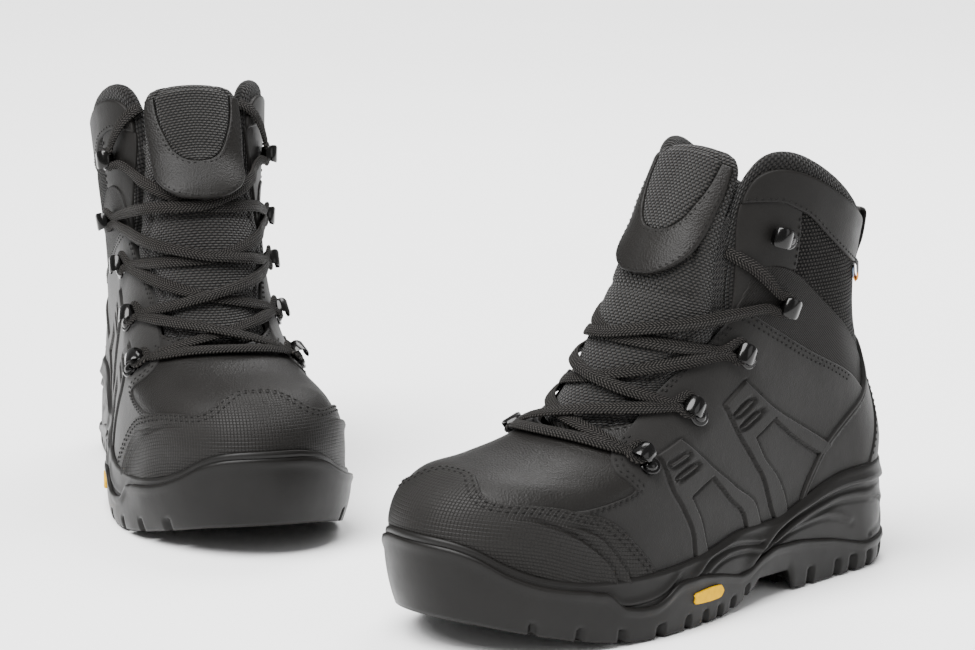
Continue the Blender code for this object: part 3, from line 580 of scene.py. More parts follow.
def make_looks():
    """Every material, by a short name."""
    looks = {}

    def grey(value, warm=1.09):
        value *= 0.17
        return (value * warm, value, value / warm)

    def plain(key, name, tint, stops, bumps, gloss=None, **surface):
        """A look from noise alone: its tint's noise and colours, its bumps, and the noise and range of its gloss."""
        look = Look(name, **surface)
        look.colour(look.noise(*tint), stops)
        if gloss:
            look.roughness(look.noise(*gloss[:2]), *gloss[2:])
        for source, *numbers, distance, strength in bumps:
            look.bump(getattr(look, source)(*numbers), distance, strength)
        looks[key] = look.material

    plain("vamp", "smooth_leather", (22, 3), [(0.3, grey(0.030)), (0.7, grey(0.046))],
          [("cells", 1050, 0.00022, 0.8), ("noise", 500, 4, 0.00015, 0.5), ("noise", 60, 2, 0.0006, 0.25)],
          gloss=(60, 4, 0.38, 0.56), rough=0.46, Specular_IOR_Level=0.14)
    plain("nubuck", "matt_nubuck", (35, 5, 0.62), [(0.25, grey(0.024, 1.1)), (0.75, grey(0.038, 1.1))],
          [("noise", 1500, 3, 0.00016, 0.8), ("noise", 220, 4, 0.0003, 0.5)],
          gloss=(45, 4, 0.56, 0.78), rough=0.66, Specular_IOR_Level=0.11, Sheen_Weight=0.12, Sheen_Roughness=0.5)
    plain("band", "band_leather", (30, 4), [(0.3, grey(0.027)), (0.7, grey(0.042))],
          [("cells", 1700, 0.00010, 0.6), ("noise", 420, 3, 0.00015, 0.4)],
          gloss=(80, 4, 0.42, 0.62), rough=0.5, Specular_IOR_Level=0.13)

    m = Look("toe_grid", 0.5, Specular_IOR_Level=0.14)
    x, y = m.uv()
    wave = [m.ridges(c, 0.165) for c in (x, y)]
    squares = m.math("MINIMUM", wave[0], wave[1])
    # Colour lighter on the raised squares and darker in the grooves: painted shade in the grooves and painted highlight
    # on the square tops, over random flecks from the noise.
    m.colour(m.flecks_and_painted_shade(m.noise(30, 4), 0.4, squares, 0.5),
             [(0.1, grey(0.026)), (0.40, grey(0.042)), (0.85, grey(0.060))])
    m.bump(m.math("MINIMUM", squares, 0.55), 0.0003, 1.0)
    m.bump(m.noise(500, 3), 0.0001, 0.3)
    looks["toe"] = m.material

    m = Look("ballistic_weave", 0.72, Specular_IOR_Level=0.10, Sheen_Weight=0.1)
    height = m.staggered(0.26, 0.155)
    # Near black in the gaps between threads and bright on the thread tops: painted shade in the gaps and painted
    # highlight on the threads, over random flecks from the noise.
    weave_flecks_and_painted_shade = m.flecks_and_painted_shade(m.noise(900, 2), 0.35, height, 0.8)
    m.colour(weave_flecks_and_painted_shade, [(0.28, grey(0.001)), (0.60, grey(0.020, 1.10)), (0.92, grey(0.130, 1.10))])
    m.bump(height, 0.0012, 1.0)
    looks["weave"] = m.material

    m = Look("mesh_panel", 0.75, Specular_IOR_Level=0.10)
    height = m.staggered(0.20, 0.18)
    # Near black in the gaps and bright on the raised tops: painted shade in the gaps and painted highlight on the tops,
    # over random flecks from the noise.
    m.colour(m.flecks_and_painted_shade(m.noise(1200, 2), 0.3, height, 0.8),
             [(0.30, grey(0.001)), (0.66, grey(0.024)), (0.95, grey(0.120))])
    m.bump(height, 0.0010, 1.0)
    looks["mesh"] = m.material

    m = Look("collar_mesh", 0.8, Specular_IOR_Level=0.09, Sheen_Weight=0.08)
    height = m.staggered(0.20, 0.15, turned=True)
    # The colour follows the weave's height alone: painted shade, near black, in the gaps and painted highlight on the
    # raised tops.
    m.colour(height, [(0.15, grey(0.002)), (0.7, grey(0.026)), (1.0, grey(0.085))])
    m.bump(height, 0.0008, 1.0)
    looks["collar"] = m.material

    m = Look("ridged_cloth", 0.62, Specular_IOR_Level=0.11)
    x, y = m.uv()
    slant = m.math("ADD", m.math("MULTIPLY", x, 0.72), m.math("MULTIPLY", y, 0.70))
    ridge = m.ridges(slant, 0.115)
    # Colour lighter on the ridge tops and darker between them: painted shade in the dips and painted highlight on the
    # ridges, over random flecks from the noise.
    m.colour(m.flecks_and_painted_shade(m.noise(300, 3), 0.3, ridge, 0.6),
             [(0.15, grey(0.018, 1.1)), (0.7, grey(0.038, 1.1))])
    m.bump(ridge, 0.0003, 0.8)
    looks["ridged"] = m.material

    plain("lining", "knit_lining", (700, 3), [(0.3, grey(0.014)), (0.7, grey(0.026))],
          [("cells", 900, 0.0003, 0.6)],
          rough=0.9, Specular_IOR_Level=0.08)

    m = Look("braided_lace", 0.68, Specular_IOR_Level=0.11)
    x, y = m.uv()
    vee = m.math("ADD", x, m.math("MULTIPLY", m.math("ABSOLUTE", y), 1.0))
    strand = m.ridges(vee, 0.17)
    cross = m.ridges(y, 0.12)
    braid = m.math("MULTIPLY", strand, m.math("MULTIPLY_ADD", cross, 0.6, 0.4))
    # Near black between the strands and bright on their tops: painted shade between the strands and painted highlight
    # on the strands, over random flecks from the noise.
    m.colour(m.flecks_and_painted_shade(m.noise(1500, 2), 0.4, braid, 0.75),
             [(0.2, grey(0.002)), (0.55, grey(0.030, 1.08)), (0.85, grey(0.18, 1.09))])
    m.bump(braid, 0.0009, 1.0)
    looks["lace"] = m.material

    plain("thread", "thread", (3000, 2), [(0.3, grey(0.012)), (0.7, grey(0.030))],
          [("noise", 4000, 2, 0.0001, 0.5)],
          rough=0.6, Specular_IOR_Level=0.13)
    plain("outsole", "outsole_rubber", (25, 5, 0.65), [(0.25, grey(0.022)), (0.75, grey(0.036))],
          [("noise", 1800, 3, 0.00008, 0.5), ("noise", 120, 4, 0.00035, 0.25)],
          gloss=(90, 4, 0.30, 0.54), rough=0.42, Specular_IOR_Level=0.15)
    plain("midsole", "midsole_rubber", (30, 5, 0.6), [(0.25, grey(0.024, 1.08)), (0.75, grey(0.038, 1.08))],
          [("noise", 2200, 3, 0.00008, 0.6)],
          gloss=(70, 4, 0.34, 0.56), rough=0.46, Specular_IOR_Level=0.16)
    plain("hook", "black_hook", (200, 3), [(0.3, grey(0.012)), (0.7, grey(0.024))],
          [("noise", 600, 2, 0.00005, 0.4)],
          gloss=(900, 3, 0.16, 0.32), rough=0.22, metallic=0.85, Coat_Weight=0.4, Coat_Roughness=0.12)
    plain("badge", "yellow_badge", (300, 3), [(0.3, (0.60, 0.33, 0.0)), (0.7, (0.68, 0.38, 0.0))],
          [("noise", 900, 3, 0.00006, 0.5)],
          rough=0.5, Specular_IOR_Level=0.02)

    m = Look("label_cloth", 0.7)
    x, y = m.uv()
    m.colour(m.math("MULTIPLY_ADD", m.noise(800, 2), 0.1, y),
             [(0.30, (0.03, 0.03, 0.03)), (0.42, (0.03, 0.03, 0.03)), (0.46, (0.75, 0.27, 0.02)),
              (0.86, (0.75, 0.27, 0.02)), (0.9, (0.35, 0.42, 0.55))])
    m.bump(m.noise(1800, 2), 0.0001, 0.6)
    looks["label"] = m.material

    plain("board", "fibre_board", (300, 5), [(0.3, (0.22, 0.16, 0.10)), (0.7, (0.34, 0.26, 0.18))],
          [("noise", 900, 4, 0.0002, 0.5)],
          rough=0.85)
    plain("steel", "spring_steel", (120, 4), [(0.3, (0.42, 0.42, 0.43)), (0.7, (0.58, 0.58, 0.60))],
          [("noise", 1500, 2, 0.00004, 0.4)],
          rough=0.3, metallic=1.0)
    plain("footbed", "footbed_felt", (260, 4), [(0.3, grey(0.030)), (0.7, grey(0.055))],
          [("noise", 1400, 4, 0.0004, 0.7)],
          rough=0.92)
    return looks


LOOKS = make_looks()

# ---------------------------------------------------------------- outlines on the upper, as (u, v)
CAP_EDGE = [(0.0, 0.214), (0.03, 0.208), (0.055, 0.176), (0.074, 0.147), (0.09, 0.133), (0.113, 0.127),
            (0.145, 0.131), (0.184, 0.138), (0.219, 0.138), (0.258, 0.131), (0.297, 0.106), (0.328, 0.075),
            (0.352, 0.045), (0.366, 0.01), (0.370, -0.02)]
SWOOSH = [[(0.117, 0.090), (0.156, 0.090), (0.191, 0.084), (0.227, 0.075), (0.262, 0.054), (0.281, 0.030),
           (0.288, 0.0)],
          [(0.191, 0.094), (0.227, 0.096), (0.262, 0.083), (0.289, 0.055), (0.305, 0.028), (0.312, 0.0)]]
VEE = [(0.160, 0.470), (0.158, 0.430), (0.166, 0.375), (0.211, 0.290), (0.258, 0.240), (0.280, 0.216),
       (0.284, 0.203), (0.277, 0.189), (0.255, 0.169), (0.225, 0.148), (0.20, 0.135)]
THROAT = [(0.160, 0.470), (0.168, 0.545), (0.198, 0.595), (0.245, 0.644), (0.285, 0.694), (0.297, 0.706)]
ANKLE = [(0.297, 0.706), (0.322, 0.717), (0.348, 0.713), (0.402, 0.690), (0.512, 0.638), (0.629, 0.569),
         (0.734, 0.494), (0.80, 0.425), (0.850, 0.338)]
HEEL_EDGE = [(0.692, -0.02), (0.697, 0.044), (0.723, 0.131), (0.746, 0.194), (0.789, 0.269), (0.844, 0.345),
             (0.885, 0.440), (0.915, 0.515), (0.955, 0.545), (1.0, 0.550)]
BACKSTAY = [(0.850, -0.02), (0.862, 0.06), (0.880, 0.16), (0.905, 0.26), (0.930, 0.36), (0.945, 0.46),
            (0.952, 0.56), (0.962, 0.600), (1.0, 0.612)]
RIDGED = [(0.300, 0.655), (0.292, 0.700), (0.300, 0.750), (0.320, 0.795), (0.359, 0.814), (0.406, 0.814),
          (0.449, 0.806), (0.50, 0.788), (0.598, 0.738), (0.70, 0.668), (0.80, 0.575), (0.87, 0.48), (0.91, 0.40)]
BAND_LOW = [(0.226, 0.938), (0.293, 0.932), (0.352, 0.931), (0.398, 0.925), (0.453, 0.917), (0.555, 0.888),
            (0.664, 0.858), (0.80, 0.832), (0.92, 0.818), (1.0, 0.815)]
BAND_TOP = [(0.226, 0.938), (0.232, 0.958), (0.252, 0.977), (0.289, 0.986), (0.352, 0.988), (0.50, 0.986),
            (0.70, 0.984), (1.0, 0.982)]
WISHBONES = [
    {"outer": [[(0.270, 0.338), (0.297, 0.388)], [(0.297, 0.388), (0.445, 0.238), (0.527, 0.150), (0.582, 0.094),
                                                 (0.612, 0.02)], [(0.612, 0.02), (0.449, 0.0)],
               [(0.449, 0.0), (0.441, 0.069), (0.414, 0.125), (0.367, 0.194), (0.270, 0.338)]],
     "inner": [[(0.418, 0.160), (0.455, 0.206)], [(0.455, 0.206), (0.515, 0.130), (0.556, 0.081), (0.578, 0.02)],
               [(0.578, 0.02), (0.474, 0.0)], [(0.474, 0.0), (0.469, 0.045), (0.453, 0.098), (0.418, 0.160)]],
     "bars": [((0.318, 0.290), (0.340, 0.322)), ((0.362, 0.232), (0.388, 0.268))]},
    {"outer": [[(0.371, 0.475), (0.410, 0.533)], [(0.410, 0.533), (0.539, 0.419), (0.648, 0.306), (0.760, 0.165)],
               [(0.760, 0.165), (0.700, 0.02)], [(0.640, 0.0), (0.636, 0.038), (0.602, 0.131), (0.551, 0.225),
                                                (0.477, 0.338), (0.371, 0.475)]],
     "inner": [[(0.527, 0.312), (0.562, 0.369)], [(0.562, 0.369), (0.640, 0.270), (0.740, 0.140)],
               [(0.740, 0.140), (0.700, 0.0)], [(0.667, 0.0), (0.662, 0.056), (0.636, 0.125), (0.582, 0.213),
                                               (0.527, 0.312)]],
     "bars": [((0.428, 0.428), (0.452, 0.465)), ((0.470, 0.372), (0.498, 0.412))]},
]


def flip(points, side):
    """(u, v) points for the outer side, 1, or the inner side, -1."""
    return points if side > 0 else mirror(points)


def quarter_relief(side):
    """The height that the two embossed wishbones add to a quarter, and the lines that need a finer mesh."""
    shapes, lines = [], []
    for wish in WISHBONES:
        outer, inner = (outline(*[to_chart(flip(s, side)) for s in wish[key]], step=1.2)
                        for key in ("outer", "inner"))
        bars = []
        for a, b in wish["bars"]:
            p, q = to_chart(flip([a, b], side))
            along_bar = (q - p) / np.linalg.norm(q - p)
            across = np.array([-along_bar[1], along_bar[0]]) * 2.3
            bars.append(np.array([p - across, q - across, q + across, p + across]))
        shapes.append((outer, inner, bars))
        lines += [np.vstack([outer, outer[:1]]), np.vstack([inner, inner[:1]])]
        lines += [smooth(np.vstack([bar, bar[:1]])[[i, i + 1]], 1.0) for bar in bars for i in range(4)]

    def signed(loop, line, xy, flat):
        """The distance into a closed shape, below zero outside it."""
        away = nearest(flat, UPPER.at(*from_chart(line)))
        return np.where(inside(loop, xy), away, -away)

    def height(xy, flat, _):
        h = np.zeros(len(xy))
        for outer, inner, bars in shapes:
            for loop, sign in ((outer, 1), (inner, -1)):
                into = signed(loop, loop, xy, flat)
                h += sign * 1.15 * ease((into + 0.35) / 0.8)
                h -= 0.55 * np.exp(-((into * sign + 0.75) / 0.55) ** 2)
            for bar in bars:
                into = signed(bar, smooth(np.vstack([bar, bar[:1]]), 1.0), xy, flat)
                top = ease((into + 0.2) / 0.8)
                h += 0.5 * top - 1.0 * ease((into + 2.0) / 0.9) * (1 - top)
        return h

    return height, lines


def inset(points, gap, side, back=False):
    """A chart curve moved sideways by gap millimetres on the real surface, to the left of its direction."""
    xy = smooth(to_chart(flip(points, side), back), 1.2)
    sx, sy = stretch(xy, lambda at: UPPER.at(*from_chart(at, back)))
    t = unit(np.gradient(xy, axis=0) * np.stack([sx, sy], 1))
    return xy + np.stack([-t[:, 1] / sx, t[:, 0] / sy], 1) * side * gap


# ---------------------------------------------------------------- the upper's panels
def add_upper(boot, thread):
    """The upper's leather and mesh panels, from the vamp to the backstay, with their rows of stitches."""
    vamp_top = [(0.180, 0.476), (0.12, 0.464), (0.06, 0.456), (0.0, 0.452)]
    edge = [(0.180, 0.476), (0.235, 0.38), (0.32, 0.25), (0.335, 0.12), (0.338, -0.02)]
    loop = outline(to_chart(vamp_top[::-1]), to_chart(edge), to_chart([(0.338, -0.02), (0, -0.02), (-0.338, -0.02)]),
                   to_chart(mirror(edge[::-1])), to_chart(mirror(vamp_top)))
    panel(boot, "vamp", loop, LOOKS["vamp"], "vamp_leather", lift=0.0, thick=0.9, uv="chart", replaces=["vamp"])

    low_edge = [(a, b - 0.012) for a, b in mirror(vamp_top)[:-1] + vamp_top[::-1]]
    thread.stitches(smooth(to_chart(low_edge), 1.2), lift=1.0)
    for side, word in ((1, "outer"), (-1, "inner")):
        def c(points):
            return to_chart(flip(points, side))

        height, lines = quarter_relief(side)
        loop = outline(c(VEE), c([(0.20, 0.135), (0.25, 0.11), (0.32, 0.05), (0.345, -0.02)]),
                       c([(0.345, -0.02), (0.6, -0.02), (0.86, -0.02)]),
                       c([(0.86, -0.02), (0.88, 0.2), (0.850, 0.338)]),
                       c(ANKLE[::-1]), c(THROAT[::-1]))
        panel(boot, f"{word}_quarter", loop, LOOKS["nubuck"], "nubuck", lift=0.7, thick=1.1, shape=height,
              lines=lines, replaces=[f"{word}_quarter"], step=2.4)
        for gap in (1.6, 3.9):
            thread.stitches(inset(VEE[1:-1], gap, side), lift=1.85)
            thread.stitches(inset(ANKLE[1:-1], -gap, side), lift=1.85)
        for gap in (1.7, 4.2):
            thread.stitches(inset(THROAT[1:-1], -gap, side), lift=1.85)

        loop = outline(c(RIDGED), c([(0.91, 0.40), (0.80, 0.34), (0.629, 0.50), (0.45, 0.60), (0.34, 0.64),
                                     (0.300, 0.655)]))
        panel(boot, f"{word}_ankle_panel", loop, LOOKS["ridged"], "nubuck", lift=0.0, thick=1.0,
              shape=lambda xy, flat, d: 0.35 * np.exp(-((d - 0.9) / 0.8) ** 2))
        facing = [(0.292, 0.700), (0.272, 0.770), (0.245, 0.845), (0.226, 0.900), (0.224, 0.940), (0.25, 0.960)]
        rear = [(0.42, 0.955), (0.424, 0.919), (0.436, 0.888), (0.450, 0.844), (0.462, 0.77)]
        loop = outline(c(facing), c([facing[-1], (0.35, 0.965), rear[0]]), c(rear),
                       c([rear[-1], (0.38, 0.72), facing[0]]))
        panel(boot, f"{word}_facing", loop, LOOKS["band"], "nubuck", lift=-0.4, thick=1.0)
        thread.stitches(inset(rear[1:], -1.5, side), lift=0.75)
        loop = outline(c([(0.415, 0.95), (0.43, 0.86), (0.445, 0.77)]),
                       c([(0.445, 0.77), (0.50, 0.75), (0.598, 0.69), (0.70, 0.61), (0.80, 0.51), (0.87, 0.42),
                          (0.91, 0.35), (0.93, 0.30)]), c([(0.93, 0.30), (0.998, 0.30)]),
                       c([(0.998, 0.30), (0.998, 0.6), (0.998, 0.86)]),
                       c([(0.998, 0.86), (0.80, 0.87), (0.664, 0.895), (0.555, 0.92), (0.415, 0.95)]))
        panel(boot, f"{word}_mesh_panel", loop, LOOKS["mesh"], "collar_mesh", lift=-0.9, thick=1.0,
              shape=lambda xy, flat, d: 1.1 * ease(d / 14))

    loop = outline(to_chart(BAND_LOW, True), to_chart(mirror(BAND_LOW)[::-1], True),
                   to_chart(mirror(BAND_TOP), True), to_chart(BAND_TOP[::-1], True))
    panel(boot, "collar_band", loop, LOOKS["band"], "nubuck", lift=0.3, thick=1.3, back=True,
          replaces=["collar_leather"])
    for side in (1, -1):
        thread.stitches(inset(BAND_LOW[:-1], -1.9, side, True), back=True, lift=1.6)

    loop = outline(to_chart(HEEL_EDGE, True), to_chart(mirror(HEEL_EDGE)[::-1], True),
                   to_chart([(-0.692, -0.02), (1.0, -0.02), (0.692, -0.02)], True))

    def strap(xy, flat, d):
        line = np.concatenate([smooth(to_chart(flip(HEEL_EDGE[:-2], s), True), 2) for s in (1, -1)])
        away = nearest(flat, UPPER.at(*from_chart(line, True)), closed=False)
        return 0.9 * (1 - ease((away - 3.2) / 0.8)) - 0.35 * np.exp(-((away - 2.0) / 0.4) ** 2)

    panel(boot, "heel_panel", loop, LOOKS["nubuck"], "nubuck", lift=1.2, thick=0.9, back=True, shape=strap,
          lines=[smooth(to_chart(flip(HEEL_EDGE[:-2], s), True) + [-3.6 * s, 0], 1.5) for s in (1, -1)],
          replaces=["heel_overlay"])
    loop = outline(to_chart(BACKSTAY, True), to_chart(mirror(BACKSTAY)[::-1], True),
                   to_chart([(-0.850, -0.02), (1.0, -0.02), (0.850, -0.02)], True))
    panel(boot, "backstay", loop, LOOKS["band"], "nubuck", lift=2.0, thick=1.0, back=True)
    for side in (1, -1):
        thread.stitches(inset(BACKSTAY[1:-1], 1.6, side, True), back=True, lift=3.0)
    add_toe_cap(boot, thread)


def add_toe_cap(boot, thread):
    """The toe cap with its raised swooshes."""
    ridges = [smooth(to_chart(flip(points, side)), 1.2) for points in SWOOSH for side in (1, -1)]

    def over(u, _):
        return ease((np.abs(u) - 0.14) / 0.10)

    def shape(xy, flat, d):
        h = np.zeros(len(xy))
        for line in ridges:
            away = nearest(flat, UPPER.at(*from_chart(line)), closed=False)
            closest = np.argmin(((xy[:, None] - line[None]) ** 2).sum(axis=2), axis=1)
            t = np.gradient(line, axis=0)[closest]
            gap = xy - line[closest]
            left = np.sign(t[:, 0] * gap[:, 1] - t[:, 1] * gap[:, 0]) * np.sign(line[-1, 0])
            signed = away * left
            tip = ease(closest / len(line) / 0.25)
            h += tip * np.where(signed > 0, 1.8 * np.exp(-(signed / 0.45) ** 2), 1.8 * np.exp(signed / 3.0))
            h -= tip * 0.7 * np.exp(-((signed - 1.3) / 0.7) ** 2)
        return h * ease((d - 5.6) / 0.8)

    back_edge = mirror(CAP_EDGE)[::-1]
    loop = outline(to_chart(CAP_EDGE), to_chart([CAP_EDGE[-1], (0.2, -0.02), (0, -0.02), (-0.2, -0.02), back_edge[0]]),
                   to_chart(back_edge))
    panel(boot, "toe_cap", loop, LOOKS["toe"], "overlay_leather", lift=0.7, thick=1.2, uv="chart", shape=shape,
          lines=ridges, lift_at=over, replaces=["toe_cap"], step=2.2)
    for gap in (1.8, 4.4):
        thread.stitches(inset(back_edge[:-1] + CAP_EDGE, -gap, 1), lift=1.95, lift_at=over, pitch=3.7)


# ---------------------------------------------------------------- soft parts
def pillow(boot, name, loop, middle, half, radius, material, slot, replaces=(), step=3.0, shape=None):
    """A padded roll on the upper: its outline closes round from an outer face to an inner one."""
    def place(xy):
        return UPPER.lifted(*from_chart(xy, True), middle)

    xy, faces, flat, d = filled(loop, inward(loop, (0.25, 0.9, 2.0, 3.4, 5.2)), place, (step, step), 0.12, 6.0)
    swell = half * rolled(d, radius)
    if shape is not None:
        swell = swell + shape(xy, flat, d)
    u, v = from_chart(xy, True)
    both = np.concatenate([UPPER.lifted(u, v, middle + swell), UPPER.lifted(u, v, middle - swell)])
    index = np.where(d < 1e-3, np.arange(len(xy)), np.arange(len(xy)) + len(xy))
    faces = faces + [[int(index[i]) for i in f][::-1] for f in faces]
    made = boot.piece(name, both, faces, material, slot, np.concatenate([xy, xy]) / 10, "root", replaces, flip=True)
    loose = bmesh.new()
    loose.from_mesh(made.data)
    bmesh.ops.delete(loose, geom=[p for p in loose.verts if not p.link_faces], context="VERTS")
    loose.to_mesh(made.data)
    loose.free()
    return made


def add_collar(boot):
    """The padded collar and the lining inside the upper."""
    side = [(0.286, 0.680), (0.254, 0.760), (0.219, 0.850), (0.199, 0.905), (0.198, 0.955), (0.216, 0.990),
            (0.258, 1.010), (0.32, 1.016), (0.50, 1.014), (0.75, 1.012), (1.0, 1.010)]
    loop = outline(to_chart(side, True), to_chart(mirror(side)[::-1], True),
                   to_chart([(-0.292, 0.680), (-0.6, 0.670), (1.0, 0.660), (0.6, 0.670), (0.292, 0.680)], True))

    def puffs(xy, flat, d):
        wave = np.sin(xy[:, 0] / 11.0) * np.sin(xy[:, 1] / 17.0)
        return 0.35 * wave * ease(d / 8)

    collar = pillow(boot, "collar", loop, -5.2, 5.0, 5.5, LOOKS["collar"], "collar_mesh",
                    ["collar_padding"], shape=puffs)
    rows, cols = 34, 150
    v = np.linspace(0.0, 0.74, rows)
    u = np.linspace(-1, 1, cols + 1)[:-1]
    uu, vv = np.meshgrid(u, v)
    points = UPPER.lifted(uu.ravel(), vv.ravel(), np.full(uu.size, -5.2))
    faces = grid_faces(rows, cols, closed=True, flip=True)
    keep = []
    for f in faces:
        j, i = f[0] // cols, f[0] % cols
        throat = float(spline(THROAT_V, THROAT_HALF, v[j])) / float(UPPER.half_girth(v[j], True))
        if v[j] > 0.455 and min(abs(u[k % cols]) for k in [i]) < throat + 0.02:
            continue
        keep.append(f)
    boot.piece("lining", points, keep, LOOKS["lining"], "lining_fabric",
               np.stack([uu.ravel() * 25, vv.ravel() * 23], 1), "root", ["lining"])


def tongue_place(share, v, depth):
    """A point of the tongue, share from -1 to 1 across, depth below its face."""
    on = np.minimum(v, 1.0)
    reach = spline(THROAT_V, THROAT_HALF, on) + np.interp(on, [0.5, 0.72, 0.8, 1.0], [2.5, 2.0, -3.0, -4.0])
    u = share * reach / UPPER.half_girth(on, share >= 0)
    bulge = spline(TONGUE_OFFSET_V, TONGUE_OFFSET, v) * (1 - 0.9 * np.abs(share) ** 2.2) - 0.8
    bulge = bulge - np.interp(on, [0.5, 0.8], [1.6, 0.3]) * np.abs(share) ** 4
    place = UPPER.lifted(u, on, bulge - depth)
    run = unit(UPPER.at(0 * u, on) - UPPER.at(0 * u, on - 0.07))
    level = UPPER.at(0 * u, on)[..., 2] - UPPER.at(u, on)[..., 2] - TONGUE_ARCH * share**2
    level = level * np.interp(on, (0.5, 0.66), (0, 1))
    return place + run * (level / run[..., 2] + (v - on) * TONGUE_RUN)[..., None]


def add_tongue(boot):
    """The tongue as one padded slab, its patch, and the gussets that join it to the lining."""
    cols = 49
    v = np.concatenate([np.linspace(0.470, 1.06, 78), 1.128 - 0.068 * np.cos(np.linspace(0, math.pi / 2, 20)[1:])])
    rows = len(v)
    share = np.sin(np.linspace(-1, 1, cols) * math.pi / 2)
    ss, vv = np.meshgrid(share, v)
    s, w = ss.ravel(), vv.ravel()
    crease = 1.3 * np.exp(-((np.abs(s) - 0.66) / 0.045) ** 2)
    for at in (0.585, 0.690, 0.795, 0.9):
        crease += 0.9 * np.exp(-((w - at - 0.03 * s * s) / 0.007) ** 2) * (np.abs(s) < 0.66)
    puff = 0.5 * np.abs(np.sin((w - 0.48) / 0.105 * math.pi)) * (1 - s * s)
    edge = np.minimum(1 - np.abs(s), 1.0)
    top = (1.128 - w) * TONGUE_RUN
    thick = 7.4 * rolled(edge, 0.16) + 0.3
    thick = thick * np.sqrt(np.clip(1 - (1 - np.clip(top / 6.0, 0, 1)) ** 2, 0.003, 1))
    corner = 13 * (1 - np.sqrt(1 - (1 - np.clip(top / 13, 0, 1)) ** 2))
    s = s * (1 - corner / 34)
    drop = (7.7 - thick) / 2
    outer = tongue_place(s, w, drop + crease - puff)
    inner = tongue_place(s, w, 7.7 - drop)
    width = np.interp(w, [0.47, 0.7, 0.9, 1.13], [37, 50, 36, 34])
    uv = np.stack([s * width, (w - 0.5) * 229], 1) / 10
    n = rows * cols
    faces = grid_faces(rows, cols) + [[i + n for i in f] for f in grid_faces(rows, cols, flip=True)]
    for j in range(rows - 1):
        a, b = j * cols, (j + 1) * cols
        faces += [[a + n, a, b, b + n], [a + cols - 1, a + cols - 1 + n, b + cols - 1 + n, b + cols - 1]]
    for i in range(cols - 1):
        t = (rows - 1) * cols
        faces += [[i, i + n, i + 1 + n, i + 1], [t + i + 1, t + i + 1 + n, t + i + n, t + i]]
    made = boot.piece("tongue", np.concatenate([outer, inner]), faces, LOOKS["weave"], "tongue_fabric",
                      np.concatenate([uv, uv]), None, ["tongue", "tongue_top"])
    bend(boot, made)
    add_patch(boot)
    for side, word in ((1, "outer"), (-1, "inner")):
        v = np.linspace(0.56, 0.972, 50)
        edge = spline([0.56, 0.60, 0.68, 0.76, 0.85, 0.905, 0.97],
                      [0.185, 0.205, 0.292, 0.262, 0.226, 0.206, 0.204], v)
        start = tongue_place(np.full(len(v), side * 0.93), v, 2.2)
        end = UPPER.lifted(side * (edge + 0.035), v, np.full(len(v), -4.2))
        end += (start - end) * (0.6 * ease((v - 0.88) / 0.09))[:, None]
        grid = np.array([start * (1 - t) + end * t - UPPER.normal(side * edge, v) * (1.6 * math.sin(math.pi * t))
                         for t in np.linspace(0, 1, 9)])
        uv = np.stack([np.repeat(np.linspace(0, 1.2, 9), len(v)), np.tile(v * 22.9, 9)], 1)
        gusset = boot.piece(f"{word}_gusset", grid.reshape(-1, 3), grid_faces(9, len(v), flip=side > 0),
                            LOOKS["weave"], "tongue_fabric", uv)
        gusset.modifiers.new("thickness", "SOLIDIFY").thickness = 0.0006


def bend(boot, made):
    """Bakes a tongue piece's placement into its mesh. The tongue's middle either side of the fold above the top
    crossing of the lace is found, but the piece is not bent.
    """
    low, high = (boot.world(tongue_place(np.array([0.0]), np.array([TONGUE_FOLD_V + dv]), 4.0))[0]
                 for dv in (-0.05, 0.05))
    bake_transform(made)


def on_tongue(xy, depth):
    """A point of the tongue from (millimetres across, v times the rise)."""
    v = xy[:, 1] / RISE_MM
    width = np.interp(v, [0.7, 0.9, 1.13], [44, 34, 33])
    return tongue_place(np.clip(xy[:, 0] / width, -0.99, 0.99), v, depth)


def tongue_panel(boot, name, loop, material, slot, lift, thick, edge, uv_scale=10.0):
    """A panel on the tongue: loop is in (millimetres across, v times the rise)."""
    near = inward(loop, (edge * 0.25, edge * 0.6, edge, edge + 1))
    xy, faces, _, d = filled(loop, near, lambda at: on_tongue(at, 0), (2.2, 2.0), edge * 0.2, edge + 1.5)
    ids, skirt = skirt_faces(faces, len(xy))
    points = [on_tongue(xy, -(lift(xy) + thick * rolled(d, edge))), on_tongue(xy[ids], -(lift(xy[ids]) - 0.7))]
    made = boot.piece(name, np.concatenate(points), faces + skirt, material, slot,
                      np.concatenate([xy, xy[ids]]) / uv_scale, None)
    bend(boot, made)


